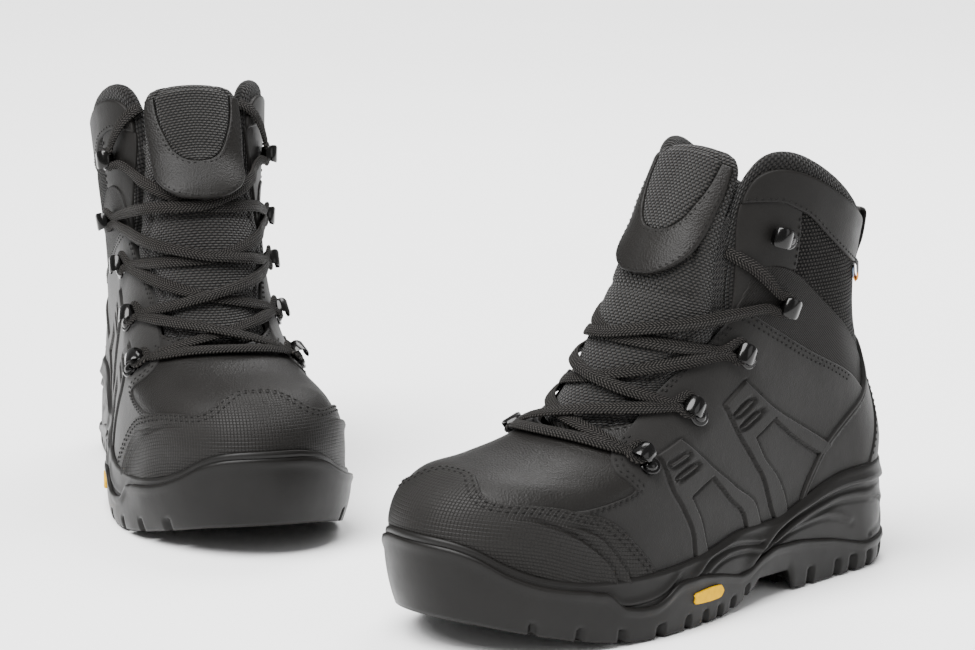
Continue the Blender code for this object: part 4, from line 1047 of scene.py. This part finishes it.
def add_patch(boot):
    """The U-shaped leather patch on the tongue, with its woven window, and its rows of stitches."""
    most = 7.5 if boot.name == "right" else 3.0  # the right boot's patch lies over its top lace crossing

    def lift(xy):
        return 0.6 + most * ease((0.97 * RISE_MM - xy[:, 1]) / 30)

    top = 1.102 * RISE_MM
    out = [(29.2, top), (30.2, 1.05 * RISE_MM), (29.0, 1.0 * RISE_MM), (26.4, 0.953 * RISE_MM),
           (22.6, 0.907 * RISE_MM), (16.0, 0.860 * RISE_MM), (8.5, 0.829 * RISE_MM), (0.0, 0.820 * RISE_MM)]
    window = [(22.4, top), (20.8, 1.048 * RISE_MM), (17.2, 1.0 * RISE_MM), (12.0, 0.957 * RISE_MM),
              (6.5, 0.934 * RISE_MM), (0.0, 0.927 * RISE_MM)]
    outer = outline(out, mirror(out)[::-1], [(-29.2, top), (-22.4, top)], mirror(window), window[::-1],
                    [(22.4, top), (29.2, top)], step=1.3)
    tongue_panel(boot, "tongue_patch", outer, LOOKS["vamp"], "vamp_leather", lift, 1.3, 1.0)
    pane = [(21.8, top + 1.0)] + [(a * 0.975, b) for a, b in window[1:]]
    inner = outline(pane, mirror(pane)[::-1], [(-21.8, top + 1.0), (0, top + 2.5), (21.8, top + 1.0)], step=1.5)
    tongue_panel(boot, "tongue_window", inner, LOOKS["weave"], "tongue_fabric", lambda xy: lift(xy) - 0.2, 0.9, 2.0)
    thread = Beads()
    for line, gap in ((out[1:], -1.8), (window[1:], 1.8)):
        for side in (1, -1):
            xy = smooth([(a * side, b) for a, b in line], 1.0)
            t = unit(np.gradient(xy, axis=0))
            n = np.stack([-t[:, 1], t[:, 0]], 1) * side
            xy = xy + n * gap
            low, high = (on_tongue(xy, -(lift(xy) + 1.15 + e)) for e in (0.0, 1.0))
            run = run_length(low)
            for start in np.arange(1.0, run[-1] - 2.4, 3.3):
                at = start + np.linspace(0, 1, 4) * 2.3
                c = between(at, run, low)
                up = unit(between(at, run, (high - low)))
                ahead = c[-1] - c[0]
                across = np.cross(up, ahead / np.linalg.norm(ahead))
                c = c + up * np.array([-0.4, 0.1, 0.1, -0.4])[:, None]
                thread.bead(c, across, up, 0.45 * np.array([0.4, 1, 1, 0.4]))
    made = boot.piece("patch_stitching", np.concatenate(thread.points), thread.faces, LOOKS["thread"], "lace_cord",
                      None, None)
    bend(boot, made)


# ---------------------------------------------------------------- hooks and laces
def hook_frame(number, outer):
    """A hook's place and its directions: up the facing, away from the throat, and out of the leather."""
    u, v = UPPER.find(*HOOKS[number], outer)
    place, out = UPPER.at(u, v)[0], UPPER.normal(u, v)[0]
    up = UPPER.at(u, min(v + 0.03, 1))[0] - UPPER.at(u, max(v - 0.03, 0))[0]
    up = unit(up - out * up.dot(out))
    away = np.cross(up, out) * (1 if outer else -1)
    side = UPPER.at(u + (0.03 if outer else -0.03), v)[0] - place
    if side.dot(away) < 0:
        away = -away
    return place, up, away, out


HOOK_PATH = [(2.0, 2.2, 4.4), (0.4, 2.2, 4.2), (-1.6, 2.5, 3.6), (-2.6, 3.8, 3.3), (-2.8, 5.4, 3.6), (-2.2, 7.2, 4.3),
             (-0.6, 8.6, 4.6), (1.4, 9.3, 4.6), (3.6, 9.0, 4.3), (5.4, 8.0, 3.7), (6.0, 7.2, 3.3)]

HOOK_SECTION = [(-1, -0.1), (-0.8, -0.5), (0.8, -0.5), (1, -0.1), (0.62, 0.62), (0, 0.95), (-0.62, 0.62)]


def add_hooks(boot):
    """The ten hooks: a bent strip, its foot plate and the rivet's dome."""
    for outer in (True, False):
        word = "outer" if outer else "inner"
        for number in range(len(HOOKS)):
            place, up, away, out = hook_frame(number, outer)
            beads = Beads()

            def at(a, n, t):
                return place + away * a + out * n + up * t

            strip = np.array(HOOK_PATH)
            run = run_length(strip[:, :2])
            t = np.linspace(0, run[-1], 26)
            strip = resampled(run, strip, t)
            ahead = unit(np.gradient(strip[:, :2], axis=0))
            sections = [[at(a + dn * high * 0.95, n - da * high * 0.95, across * wide) for across, high in HOOK_SECTION]
                        for (a, n, wide), (da, dn) in zip(strip, ahead)]
            beads.stack(sections)
            angles = np.linspace(0, 2 * math.pi, 28, endpoint=False)
            rings = []
            for scale, high in ((1.0, 1.3), (1.0, 2.3), (0.9, 2.75), (0.66, 2.8), (0.60, 2.5)):
                loop = []
                for a in angles:
                    c, s = math.cos(a), math.sin(a)
                    pull = 1 + 0.75 * max(0.0, -c) ** 3
                    narrow = 1 - 0.25 * max(0.0, -c) ** 2
                    loop.append(at(7.0 + 4.9 * scale * c * pull, high, 4.9 * scale * s * narrow))
                rings.append(loop)
            beads.stack(rings)
            dome = []
            for k in range(7):
                e = k / 6 * math.pi / 2
                r = max(3.25 * math.cos(e), 0.02)
                dome.append([at(7.2 + r * math.cos(a), 2.5 + 2.1 * math.sin(e), r * math.sin(a)) for a in angles])
            beads.stack(dome)
            node = f"hook_{word}_{number + 1}"
            made = boot.piece(f"{node}_shape", np.concatenate(beads.points), beads.faces, LOOKS["hook"], "hook_metal",
                              None, "root", [node])
            fix_normals(made)
            made.data.set_sharp_from_angle(angle=math.radians(28))


def fix_normals(made):
    """Turns a piece's faces to the outside."""
    mesh = bmesh.new()
    mesh.from_mesh(made.data)
    bmesh.ops.recalc_face_normals(mesh, faces=mesh.faces)
    mesh.to_mesh(made.data)
    mesh.free()


LACE_HALF_WIDTH, LACE_HALF_THICK, LACE_BUNCHED = 3.1, 1.1, 2.1
LACE_RISE = ([0.3, 0.42, 0.55, 0.68, 0.9], [0.09, 0.07, 0.04, 0.015, 0.0])


def turn_round(number, outer, upwards):
    """The lace's path round a hook's neck."""
    place, up, away, out = hook_frame(number, outer)
    centre = place - away * 1.5 + out * 4.6
    angles = np.radians([-118, -80, -40, 0, 40, 80, 118])
    path = [(centre + 4.6 * (away * math.cos(a) + up * math.sin(a)), out, LACE_BUNCHED) for a in angles]
    return path if upwards else path[::-1]


def crossing(number, end_number, outer, over):
    """The lace from a hook to one on the other side, lying on the tongue, or on the lace that it crosses."""
    path = []
    u, v = UPPER.find(*HOOKS[number], outer)
    end_u, end_v = UPPER.find(*HOOKS[end_number], not outer)
    rise = float(spline(*LACE_RISE, (v + end_v) / 2))
    for t in np.linspace(0, 1, 15)[1:-1]:
        at_u, at_v = u + (end_u - u) * t, v + (end_v - v) * t + rise * math.sin(math.pi * t)
        share = abs(at_u) / (float(spline(THROAT_V, THROAT_HALF, at_v)) / float(UPPER.half_girth(at_v, at_u >= 0)))
        tongue = float(spline(TONGUE_OFFSET_V, TONGUE_OFFSET, max(at_v, TONGUE_OFFSET_V[0])))
        lift = tongue * max(0.0, 1 - 0.85 * min(share, 1.1) ** 2.2) - 0.8 + LACE_HALF_THICK + 0.9
        bump = math.sin(math.pi * t) ** 4 * (2.6 if over else 0.0)
        out = UPPER.normal(at_u, at_v)[0]
        wide = LACE_HALF_WIDTH if 0.15 < t < 0.85 else LACE_BUNCHED + 0.4
        path.append((UPPER.at(at_u, at_v)[0] + out * (max(3.3, lift) + bump), out, wide))
    return path


def tail(outer, number):
    """The end of the lace, from its last hook to where it is tucked in beside the tongue."""
    u, v = UPPER.find(*HOOKS[number], outer)
    side = 1 if outer else -1
    path = []
    for share, rise, lift in ((0.78, 0.03, 4.6), (0.52, 0.06, 4.2), (0.27, 0.085, 3.4), (0.06, 0.105, 1.6),
                              (-0.10, 0.125, -2.5)):
        vv = min(v + rise, 0.995)
        edge = float(spline(THROAT_V, THROAT_HALF, vv)) / float(UPPER.half_girth(vv, outer))
        uu = side * (edge + (abs(u) - edge) * share)
        out = UPPER.normal(uu, vv)[0]
        path.append((UPPER.at(uu, vv)[0] + out * lift, out, LACE_BUNCHED if share > 0.7 else LACE_HALF_WIDTH))
    return path


def lace_path(top_hook):
    """The whole lace: from one tucked end down to the lowest hooks, across, and up to the other end."""
    path, side = [], top_hook % 2 == 0
    path += tail(side, top_hook)[::-1] + turn_round(top_hook, side, False)
    route = [(n, False) for n in range(top_hook - 1, -1, -1)] + [(n, True) for n in range(top_hook + 1)]
    last = top_hook
    for number, upwards in route:
        over = upwards and number > 0
        path += crossing(last, number, side, over) + turn_round(number, not side, upwards)
        last, side = number, not side
    return path + tail(side, top_hook)


def add_lace(boot):
    """The lace as a flat braided cord along its path."""
    path = lace_path(boot.top_hook)
    p = np.array([a for a, _, _ in path])
    outs = np.array([b for _, b, _ in path])
    wides = np.array([c for _, _, c in path])
    run = run_length(p)
    at = np.linspace(0, run[-1], int(run[-1] / 1.5))
    p = resampled(run, p, at)
    outs = resampled(run, outs, at)
    wides = np.interp(at, run, wides)
    for _ in range(3):
        outs[1:-1] = (outs[:-2] + 2 * outs[1:-1] + outs[2:]) / 4
        wides[1:-1] = (wides[:-2] + 2 * wides[1:-1] + wides[2:]) / 4
    ahead = unit(np.gradient(p, axis=0))
    across = unit(np.cross(ahead, outs))
    outs = np.cross(across, ahead)
    count = 14
    a = np.linspace(0, 2 * math.pi, count, endpoint=False)
    thick = LACE_HALF_THICK * (1 + 0.35 * (LACE_HALF_WIDTH - wides) / LACE_HALF_WIDTH)
    ca, sa = np.sign(np.cos(a)) * np.abs(np.cos(a)) ** 0.8, np.sign(np.sin(a)) * np.abs(np.sin(a)) ** 0.75
    points = (p[:, None] + across[:, None] * (wides[:, None] * ca[None])[..., None]
              + outs[:, None] * (thick[:, None] * sa[None])[..., None])
    uv = np.stack([np.repeat(at, count), np.tile(ca * LACE_HALF_WIDTH, len(at))], 1) / 10
    faces = [f[::-1] for f in capped(len(at), count)]
    made = boot.piece("lace", points.reshape(-1, 3), faces, LOOKS["lace"], "lace_cord", uv, "root", ["lace"])
    fix_normals(made)


BADGE_AT, BADGE_HEIGHT = 168, 14.2  # the middle of the badge, along the sole and up


def add_trims(boot):
    """The pull loop, the folded side label and the sole badge."""
    x, z = along(BACK_LINE, 0.80)
    top_x, top_z = along(BACK_LINE, 1.0)
    lean = math.atan2(float(top_x - x), float(top_z - z))
    path = []
    near, far, height = 1.9, 8.0, 27.0
    middle, radius = (near + far) / 2, (far - near) / 2
    path.append((3.6, -3.0))
    path += [(near + 1.2, 2.0), (near, 8.0), (near, height * 0.6), (near, height)]
    path += [(middle - radius * math.cos(a), height + radius * math.sin(a)) for a in np.radians([35, 70, 110, 145])]
    path += [(far, height), (far - 0.4, height * 0.6), (near + 3.4, 8.0), (near + 2.6, 2.0), (5.0, -3.0)]
    path = smooth(path, 1.0)
    ahead = unit(np.gradient(path, axis=0))
    normal = np.stack([-ahead[:, 1], ahead[:, 0]], 1)
    sections, uv = [], []
    ys = np.array([-14, -13.6, -12.5, -9, 0, 9, 12.5, 13.6, 14])
    hs = 0.75 * np.array([0.2, 0.7, 1, 1, 1, 1, 1, 0.7, 0.2])
    for k, ((a, b), (na, nb)) in enumerate(zip(path, normal)):
        for sign in (1, -1):
            for y, h in zip(ys[::sign], hs[::sign]):
                aa, bb = a + na * h * sign, b + nb * h * sign
                sections.append((x - aa * math.cos(lean) + bb * math.sin(lean), y,
                                 z + bb * math.cos(lean) + aa * math.sin(lean)))
                uv.append((y / 10, k / 10))
    faces = capped(len(path), 18)
    made = boot.piece("pull_strap", np.array(sections), faces, LOOKS["band"], "overlay_leather", uv,
                      f"{boot.name}_pull_loop", ["pull_loop"])
    fix_normals(made)

    rows = []
    for k, (du, dv, h) in enumerate(((0.0, 0.012, 1.2), (0.004, 0.0, 2.6), (0.010, -0.020, 3.0), (0.016, -0.046, 3.4),
                                     (0.018, -0.052, 2.8), (0.014, -0.040, 2.0), (0.006, -0.010, 1.4))):
        for t in np.linspace(-0.5, 0.5, 6):
            rows.append(UPPER.lifted(0.765 + du + t * 0.052, 0.840 + dv + t * 0.010, h)[0])
    uv = [(t, k / 6) for k in range(7) for t in np.linspace(0, 1, 6)]
    made = boot.piece("side_label", np.array(rows), grid_faces(7, 6), LOOKS["label"], "collar_mesh", uv)
    made.modifiers.new("thickness", "SOLIDIFY").thickness = 0.0005

    shape = [(-11.5, 0), (-9, -2.9), (9.5, -2.5), (11.5, -1.6), (10.2, 0.3), (11.5, 2.5), (-9.0, 3.0)]
    rings = []
    for scale, depth in ((1.0, 4.6), (1.0, 6.3), (0.93, 6.9), (0.84, 7.0)):
        loop = smooth(np.array(shape + shape[:1]) * scale, 1.5)[:-1]
        ring_points = []
        for a, b in loop:
            at, out = wall_place(BADGE_AT + a, True)
            ring_points.append([at[0] + out[0] * depth, at[1] + out[1] * depth, BADGE_HEIGHT + b])
        rings.append(ring_points)
    size = min(len(r) for r in rings)
    rings = [evenly(np.array(r), size)[0] for r in rings]
    faces = grid_faces(len(rings), size, closed=True) + [list(range(size)), [3 * size + i for i in range(size)]]
    made = boot.piece("badge", np.concatenate(rings), faces, LOOKS["badge"], "badge_rubber", None, "root",
                      ["sole_badge"])
    fix_normals(made)


# ---------------------------------------------------------------- soles
WALL_COUNT = 460  # points round the sole


def make_wall():
    """The sole's plan: points of the upper's lower edge with their outward directions, all the way round."""
    u = np.linspace(-1, 1, 4001)[:-1]
    base = UPPER.at(u, np.zeros(len(u)))
    run = run_length(base)
    at = np.linspace(0, run[-1], WALL_COUNT, endpoint=False)
    us = np.interp(at, run, u)
    base = UPPER.at(us, np.zeros(len(us)))
    t = np.roll(base, -3, 0) - np.roll(base, 3, 0)
    out = unit(np.stack([t[:, 1], -t[:, 0]], 1))
    for _ in range(6):
        out = unit(blurred(out))
    return us, base, out, at


WALL_U, WALL, WALL_OUT, WALL_RUN = make_wall()


def wall_place(x, outer):
    """The point of the sole's plan at x on one side, and its outward direction."""
    ids = np.where((WALL_U >= 0) == outer)[0]
    order = ids[np.argsort(WALL[ids, 0])]
    place = np.array([np.interp(x, WALL[order, 0], WALL[order, k]) for k in range(3)])
    out = np.array([np.interp(x, WALL[order, 0], WALL_OUT[order, k]) for k in range(2)])
    return place, out / np.linalg.norm(out)


RIM_X = [0, 22, 54, 71, 90, 105, 123, 140, 157, 174, 202, 234, 250, 262, 272, 280, 288, 300]
RIM_Z = [51, 51, 51, 48, 42, 38, 37.5, 37.5, 34.5, 32, 30.5, 31.5, 34, 37.5, 43, 50, 54.5, 56]
JOIN_X = [0, 19, 42, 67, 92, 113, 124, 134, 142, 158, 173, 187, 192, 196, 203, 212, 222, 229, 236, 242]
JOIN_Z = [13, 12.5, 12.5, 19, 23, 24, 21.5, 17.5, 16.5, 20.5, 23, 23, 21, 18, 15.2, 15.2, 17.5, 24.5, 31, 36]
BOTTOM_X = [0, 10, 88, 96, 100, 124, 129, 140, 155, 205, 222, 245, 262, 280, 300]
BOTTOM_Z = [2.5, 0.4, 0.4, 1.5, 11, 12, 8, 3.4, 0.5, 0.3, 1.8, 5.5, 9.5, 14.5, 19]
SWOOPS = [
    ([(132, 19), (129, 22), (110, 32.5), (84, 39.5), (59, 43.5), (30, 43), (0, 41)], 1.7, 2.3),
    ([(122, 24), (106, 29.5), (93, 33), (75, 36.5), (59, 38.5), (38, 36.5), (24, 32), (17, 26), (22, 19), (36, 16)],
     0.9, 1.6),
    ([(112, 27.5), (101, 30), (85, 32), (72, 32.5), (60, 30), (52, 26)], 0.7, 1.3),
    ([(176, 24.5), (173, 26), (163, 31), (145, 33.5), (124, 30.5)], 1.1, 1.6),
    ([(166, 24.5), (160, 27), (150, 29), (137, 28.8), (124, 26.5)], 0.9, 1.4),
    ([(228, 24), (222, 20), (208, 19.5), (198, 21.5), (188, 27)], 0.6, 1.2),
]


def wall_relief(x, z):
    """Moulded swoops on the sole wall, by the side view's x and z."""
    flat = np.stack([x, z], 1)
    h = np.zeros(len(x))
    for points, amount, width in SWOOPS:
        line = smooth(points, 2.0)
        d = nearest(flat, line, closed=False)
        closest = np.argmin(((flat[:, None] - line[None]) ** 2).sum(2), axis=1)
        t = np.gradient(line, axis=0)[closest]
        gap = flat - line[closest]
        below = np.sign(t[:, 0] * gap[:, 1] - t[:, 1] * gap[:, 0])
        h += 1.05 * np.where(below > 0, amount * np.exp(-(d / 0.75) ** 2), amount * np.exp(-(d / width / 1.7) ** 2))
        h -= 0.8 * amount * np.exp(-((d * below - 1.7) / 0.85) ** 2)
    return h


def add_soles(boot):
    """The midsole, the outsole and its lugs."""
    x = WALL[:, 0]
    rim = spline(RIM_X, RIM_Z, x)
    join = np.minimum(np.interp(x, JOIN_X, JOIN_Z), rim - 5.5)
    join = np.where(x > 238, rim - 4.5, join)
    for _ in range(2):
        join = blurred(join)
    bottom = np.interp(x, BOTTOM_X, BOTTOM_Z)
    toe = ease((x - 228) / 26)

    def wall(z, off):
        p = WALL.copy()
        p[:, :2] += WALL_OUT * np.asarray(off).reshape(-1, 1)
        p[:, 2] = z
        return p

    def hug(z, off):
        """A row at this height that keeps a distance from the upper's own surface."""
        p = WALL.copy()
        v = np.clip((z - WALL[:, 2]) / 90, 0, 0.3)
        for _ in range(3):
            here = UPPER.at(WALL_U, v)
            v = np.clip(v + (z - here[:, 2]) / 150, 0, 0.4)
        here = UPPER.at(WALL_U, v)
        n = UPPER.normal(WALL_U, v)[:, :2]
        n /= np.linalg.norm(n, axis=1, keepdims=True) + 1e-9
        p[:, :2] = here[:, :2] + n * np.asarray(off).reshape(-1, 1)
        p[:, 2] = z
        return p

    # midsole: lip against the upper, then the sculpted wall down to the outsole
    rows = [hug(rim - 1.5, 0.6), hug(rim + 0.2, 1.6), hug(rim + 0.5, 2.6), hug(rim, 3.4), hug(rim - 1.2, 4.0)]
    count = 26
    for k in range(count):
        t = (k + 1) / count
        z = rim - 1.2 - (rim - 1.2 - join + 1.0) * t
        top = hug(rim - 1.2, 4.0)
        low = wall(join, 4.9)
        place = top * (1 - ease(t)) + low * ease(t)
        strength = (1 - toe) * (0.55 + 0.45 * ease(x / 30)) * math.sin(math.pi * min(1.0, 0.15 + t * 0.85)) ** 0.5
        relief = wall_relief(x, z) * strength
        place[:, :2] += WALL_OUT * relief.reshape(-1, 1)
        place[:, 2] = z
        rows.append(place)
    rows.append(wall(join - 1.0, 2.0))
    grid = np.array(rows)
    uv = np.stack([np.tile(WALL_RUN, len(rows)), grid[:, :, 2].ravel()], 1) / 10
    boot.piece("midsole_wall", grid.reshape(-1, 3), grid_faces(len(rows), WALL_COUNT, closed=True, flip=True),
               LOOKS["midsole"], "midsole_rubber", uv, "root", ["midsole"])

    # outsole: a lip along its top edge, the wall with its side cuts, and the tread underneath
    rows = [wall(join + 0.6, 3.0), wall(join + 1.6, 5.0), wall(join + 1.2, 6.3), wall(join - 0.6, 6.6),
            wall(join - 2.6, 5.9)]
    cuts = [(14, 3), (26, 3), (38, 2.6), (50, 3), (62, 2.4), (83, 2.6), (136, 2.6), (147, 2.8), (158, 2.6),
            (169, 2.4), (182, 2.6), (200, 3.4), (222, 3.4), (243, 3.0), (262, 2.6)]
    groove = np.zeros(len(x))
    for at, width in cuts:
        groove = np.maximum(groove, np.exp(-((x - at) / width * (1.5 if at < 100 else 2.1)) ** 6))
    steps = 14
    for k in range(steps):
        t = (k + 1) / steps
        z = join - 2.6 - (join - 2.6 - bottom) * t
        off = 5.6 - 1.6 * t**3 - 3.4 * toe * t**1.4
        height = z - bottom
        cut = groove * ease((np.where(x < 100, 9.0, 7.0) - height) / 2.0) * 4.2
        rows.append(wall(z, off - cut))
    rows.append(wall(bottom, 2.6 - groove * 3 - 3.4 * toe))
    rows.append(wall(bottom + 3.0, 0.5 - groove * 2 - 4.0 * toe))
    rows.append(wall(np.maximum(bottom + 4.0, 5.0), -6.0))
    grid = np.array(rows)
    count = len(rows)
    faces = grid_faces(count, WALL_COUNT, closed=True, flip=True)
    points = grid.reshape(-1, 3)
    base = (count - 1) * WALL_COUNT
    front = int(np.argmin(np.abs(WALL_U)))
    half = WALL_COUNT // 2
    for k in range(half):
        a, b = (front + k) % WALL_COUNT, (front + k + 1) % WALL_COUNT
        c, d = (front - k) % WALL_COUNT, (front - k - 1) % WALL_COUNT
        quad = list(dict.fromkeys([base + a, base + b, base + d, base + c]))
        if len(quad) > 2:
            faces.append(quad)
    uv = np.stack([np.tile(WALL_RUN, count), grid[:, :, 2].ravel()], 1) / 10
    boot.piece("outsole_wall", points, faces, LOOKS["outsole"], "sole_rubber", uv, "root", ["outsole"])
    add_lugs(boot)


def add_lugs(boot):
    """Lugs under the sole: a centre row of chevrons and edge blocks, at the forefoot and the heel."""
    beads = Beads()

    def block(cx, cy, half_x, half_y, turn):
        corners = [(-1, -1), (1, -1), (1, 1), (-1, 1)]
        rings = []
        for scale, lift in ((0.88, 0.0), (1.0, 1.0), (1.12, 5.6)):
            loop = []
            for a, b in corners:
                dx, dy = a * half_x * scale, b * half_y * scale
                px = cx + dx * math.cos(turn) - dy * math.sin(turn)
                py = cy + dx * math.sin(turn) + dy * math.cos(turn)
                ground = float(np.interp(px, BOTTOM_X, BOTTOM_Z))
                loop.append((px, py, ground + lift))
            rings.append(loop)
        beads.stack(rings)

    def width(x):
        return float(wall_place(x, True)[0][1]), float(wall_place(x, False)[0][1])

    for x in np.arange(150, 270, 15.5):
        high, low = width(x)
        middle = (high + low) / 2
        for side in (1, -1):
            block(x + 2, middle + side * 9.5, 3.6, 7.5, side * 0.6)
            block(x - 3, middle + side * 27, 4.2, 6.5, side * -0.35)
    for x in np.arange(18, 92, 14.5):
        high, low = width(x)
        middle = (high + low) / 2
        for side in (1, -1):
            block(x, middle + side * 9.5, 3.6, 7.0, side * -0.6)
            block(x + 2, middle + side * 24, 4.0, 4.5, side * 0.3)
    made = boot.piece("tread_lugs", np.concatenate(beads.points), beads.faces, LOOKS["outsole"], "sole_rubber")
    fix_normals(made)
    made.data.set_sharp_from_angle(angle=math.radians(35))


def dress_frame(boot):
    """Materials for the CAD parts that stay: the boards, the shank and the footbed."""
    for node, look in (("insole_board", "board"), ("toe_stiffener", "board"), ("heel_stiffener", "board"),
                       ("shank", "steel"), ("footbed", "footbed")):
        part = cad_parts[f"{boot.name}_{node}"]
        part.data.materials.clear()
        part.data.materials.append(LOOKS[look])


def make_boot(name):
    boot = Boot(name)
    thread = Beads()
    add_upper(boot, thread)
    boot.piece("stitching", np.concatenate(thread.points), thread.faces, LOOKS["thread"], "lace_cord")
    add_collar(boot)
    add_tongue(boot)
    add_hooks(boot)
    add_lace(boot)
    add_trims(boot)
    add_soles(boot)
    dress_frame(boot)


# ---------------------------------------------------------------- studio
PICTURE_WIDTH, SENSOR_WIDTH = 975, 36
CAMERA_DISTANCE, CAMERA_TILT = 1800.0, 11.5
CAMERA_SCALE = 2.065  # pixels of the picture to a millimetre, at the target
CAMERA_TARGET = (10.0, -60.0, 119.0)


def studio():
    """The floor, the lights and the camera."""
    floor_mesh = bpy.data.meshes.new("floor")
    floor_mesh.from_pydata([(-6, -6, 0), (6, -6, 0), (6, 8, 0), (-6, 8, 0)], [], [(0, 1, 2, 3)])
    look = Look("pale_floor", 0.55, Specular_IOR_Level=0.08)
    look.colour(look.noise(3, 2), [(0.3, (0.94, 0.94, 0.94)), (0.7, (0.96, 0.96, 0.96))])
    floor_mesh.materials.append(look.material)
    floor = bpy.data.objects.new("floor", floor_mesh)
    floor.location.z = -0.0004
    bpy.context.scene.collection.objects.link(floor)

    world = bpy.data.worlds.new("studio")
    world.use_nodes = True
    background = world.node_tree.nodes["Background"].inputs
    background[0].default_value = (1, 1, 1, 1)
    background[1].default_value = 0.5
    bpy.context.scene.world = world

    def light(name, place, target, power, size):
        lamp = bpy.data.lights.new(name, "AREA")
        lamp.energy, lamp.size = power, size
        made = bpy.data.objects.new(name, lamp)
        made.location = place
        made.rotation_euler = (Vector(target) - Vector(place)).to_track_quat("-Z", "Y").to_euler()
        bpy.context.scene.collection.objects.link(made)

    light("key", (-1.3, -1.2, 1.6), (0, 0, 0.1), 30, 0.7)
    light("fill", (1.6, -1.2, 0.9), (0, 0, 0.1), 8, 1.2)
    light("back", (0.4, 1.0, 1.6), (0, 0, 0.1), 30, 1.0)
    sky = bpy.data.lights.new("sky", "SUN")
    sky.energy, sky.angle = 8.6, math.radians(45)
    made = bpy.data.objects.new("sky", sky)
    made.rotation_euler = (math.radians(18), math.radians(-16), 0)
    bpy.context.scene.collection.objects.link(made)

    camera = bpy.data.cameras.new("camera")
    camera.sensor_width = SENSOR_WIDTH
    camera.lens = CAMERA_SCALE * CAMERA_DISTANCE / PICTURE_WIDTH * SENSOR_WIDTH
    made = bpy.data.objects.new("camera", camera)
    tilt = math.radians(CAMERA_TILT)
    target = Vector(CAMERA_TARGET) * MM
    made.location = target + Vector((0, -math.cos(tilt), math.sin(tilt))) * CAMERA_DISTANCE * MM
    made.rotation_euler = (math.pi / 2 - tilt, 0, 0)
    bpy.context.scene.collection.objects.link(made)
    bpy.context.scene.camera = made


for boot_name in BOOTS:
    make_boot(boot_name)
studio()
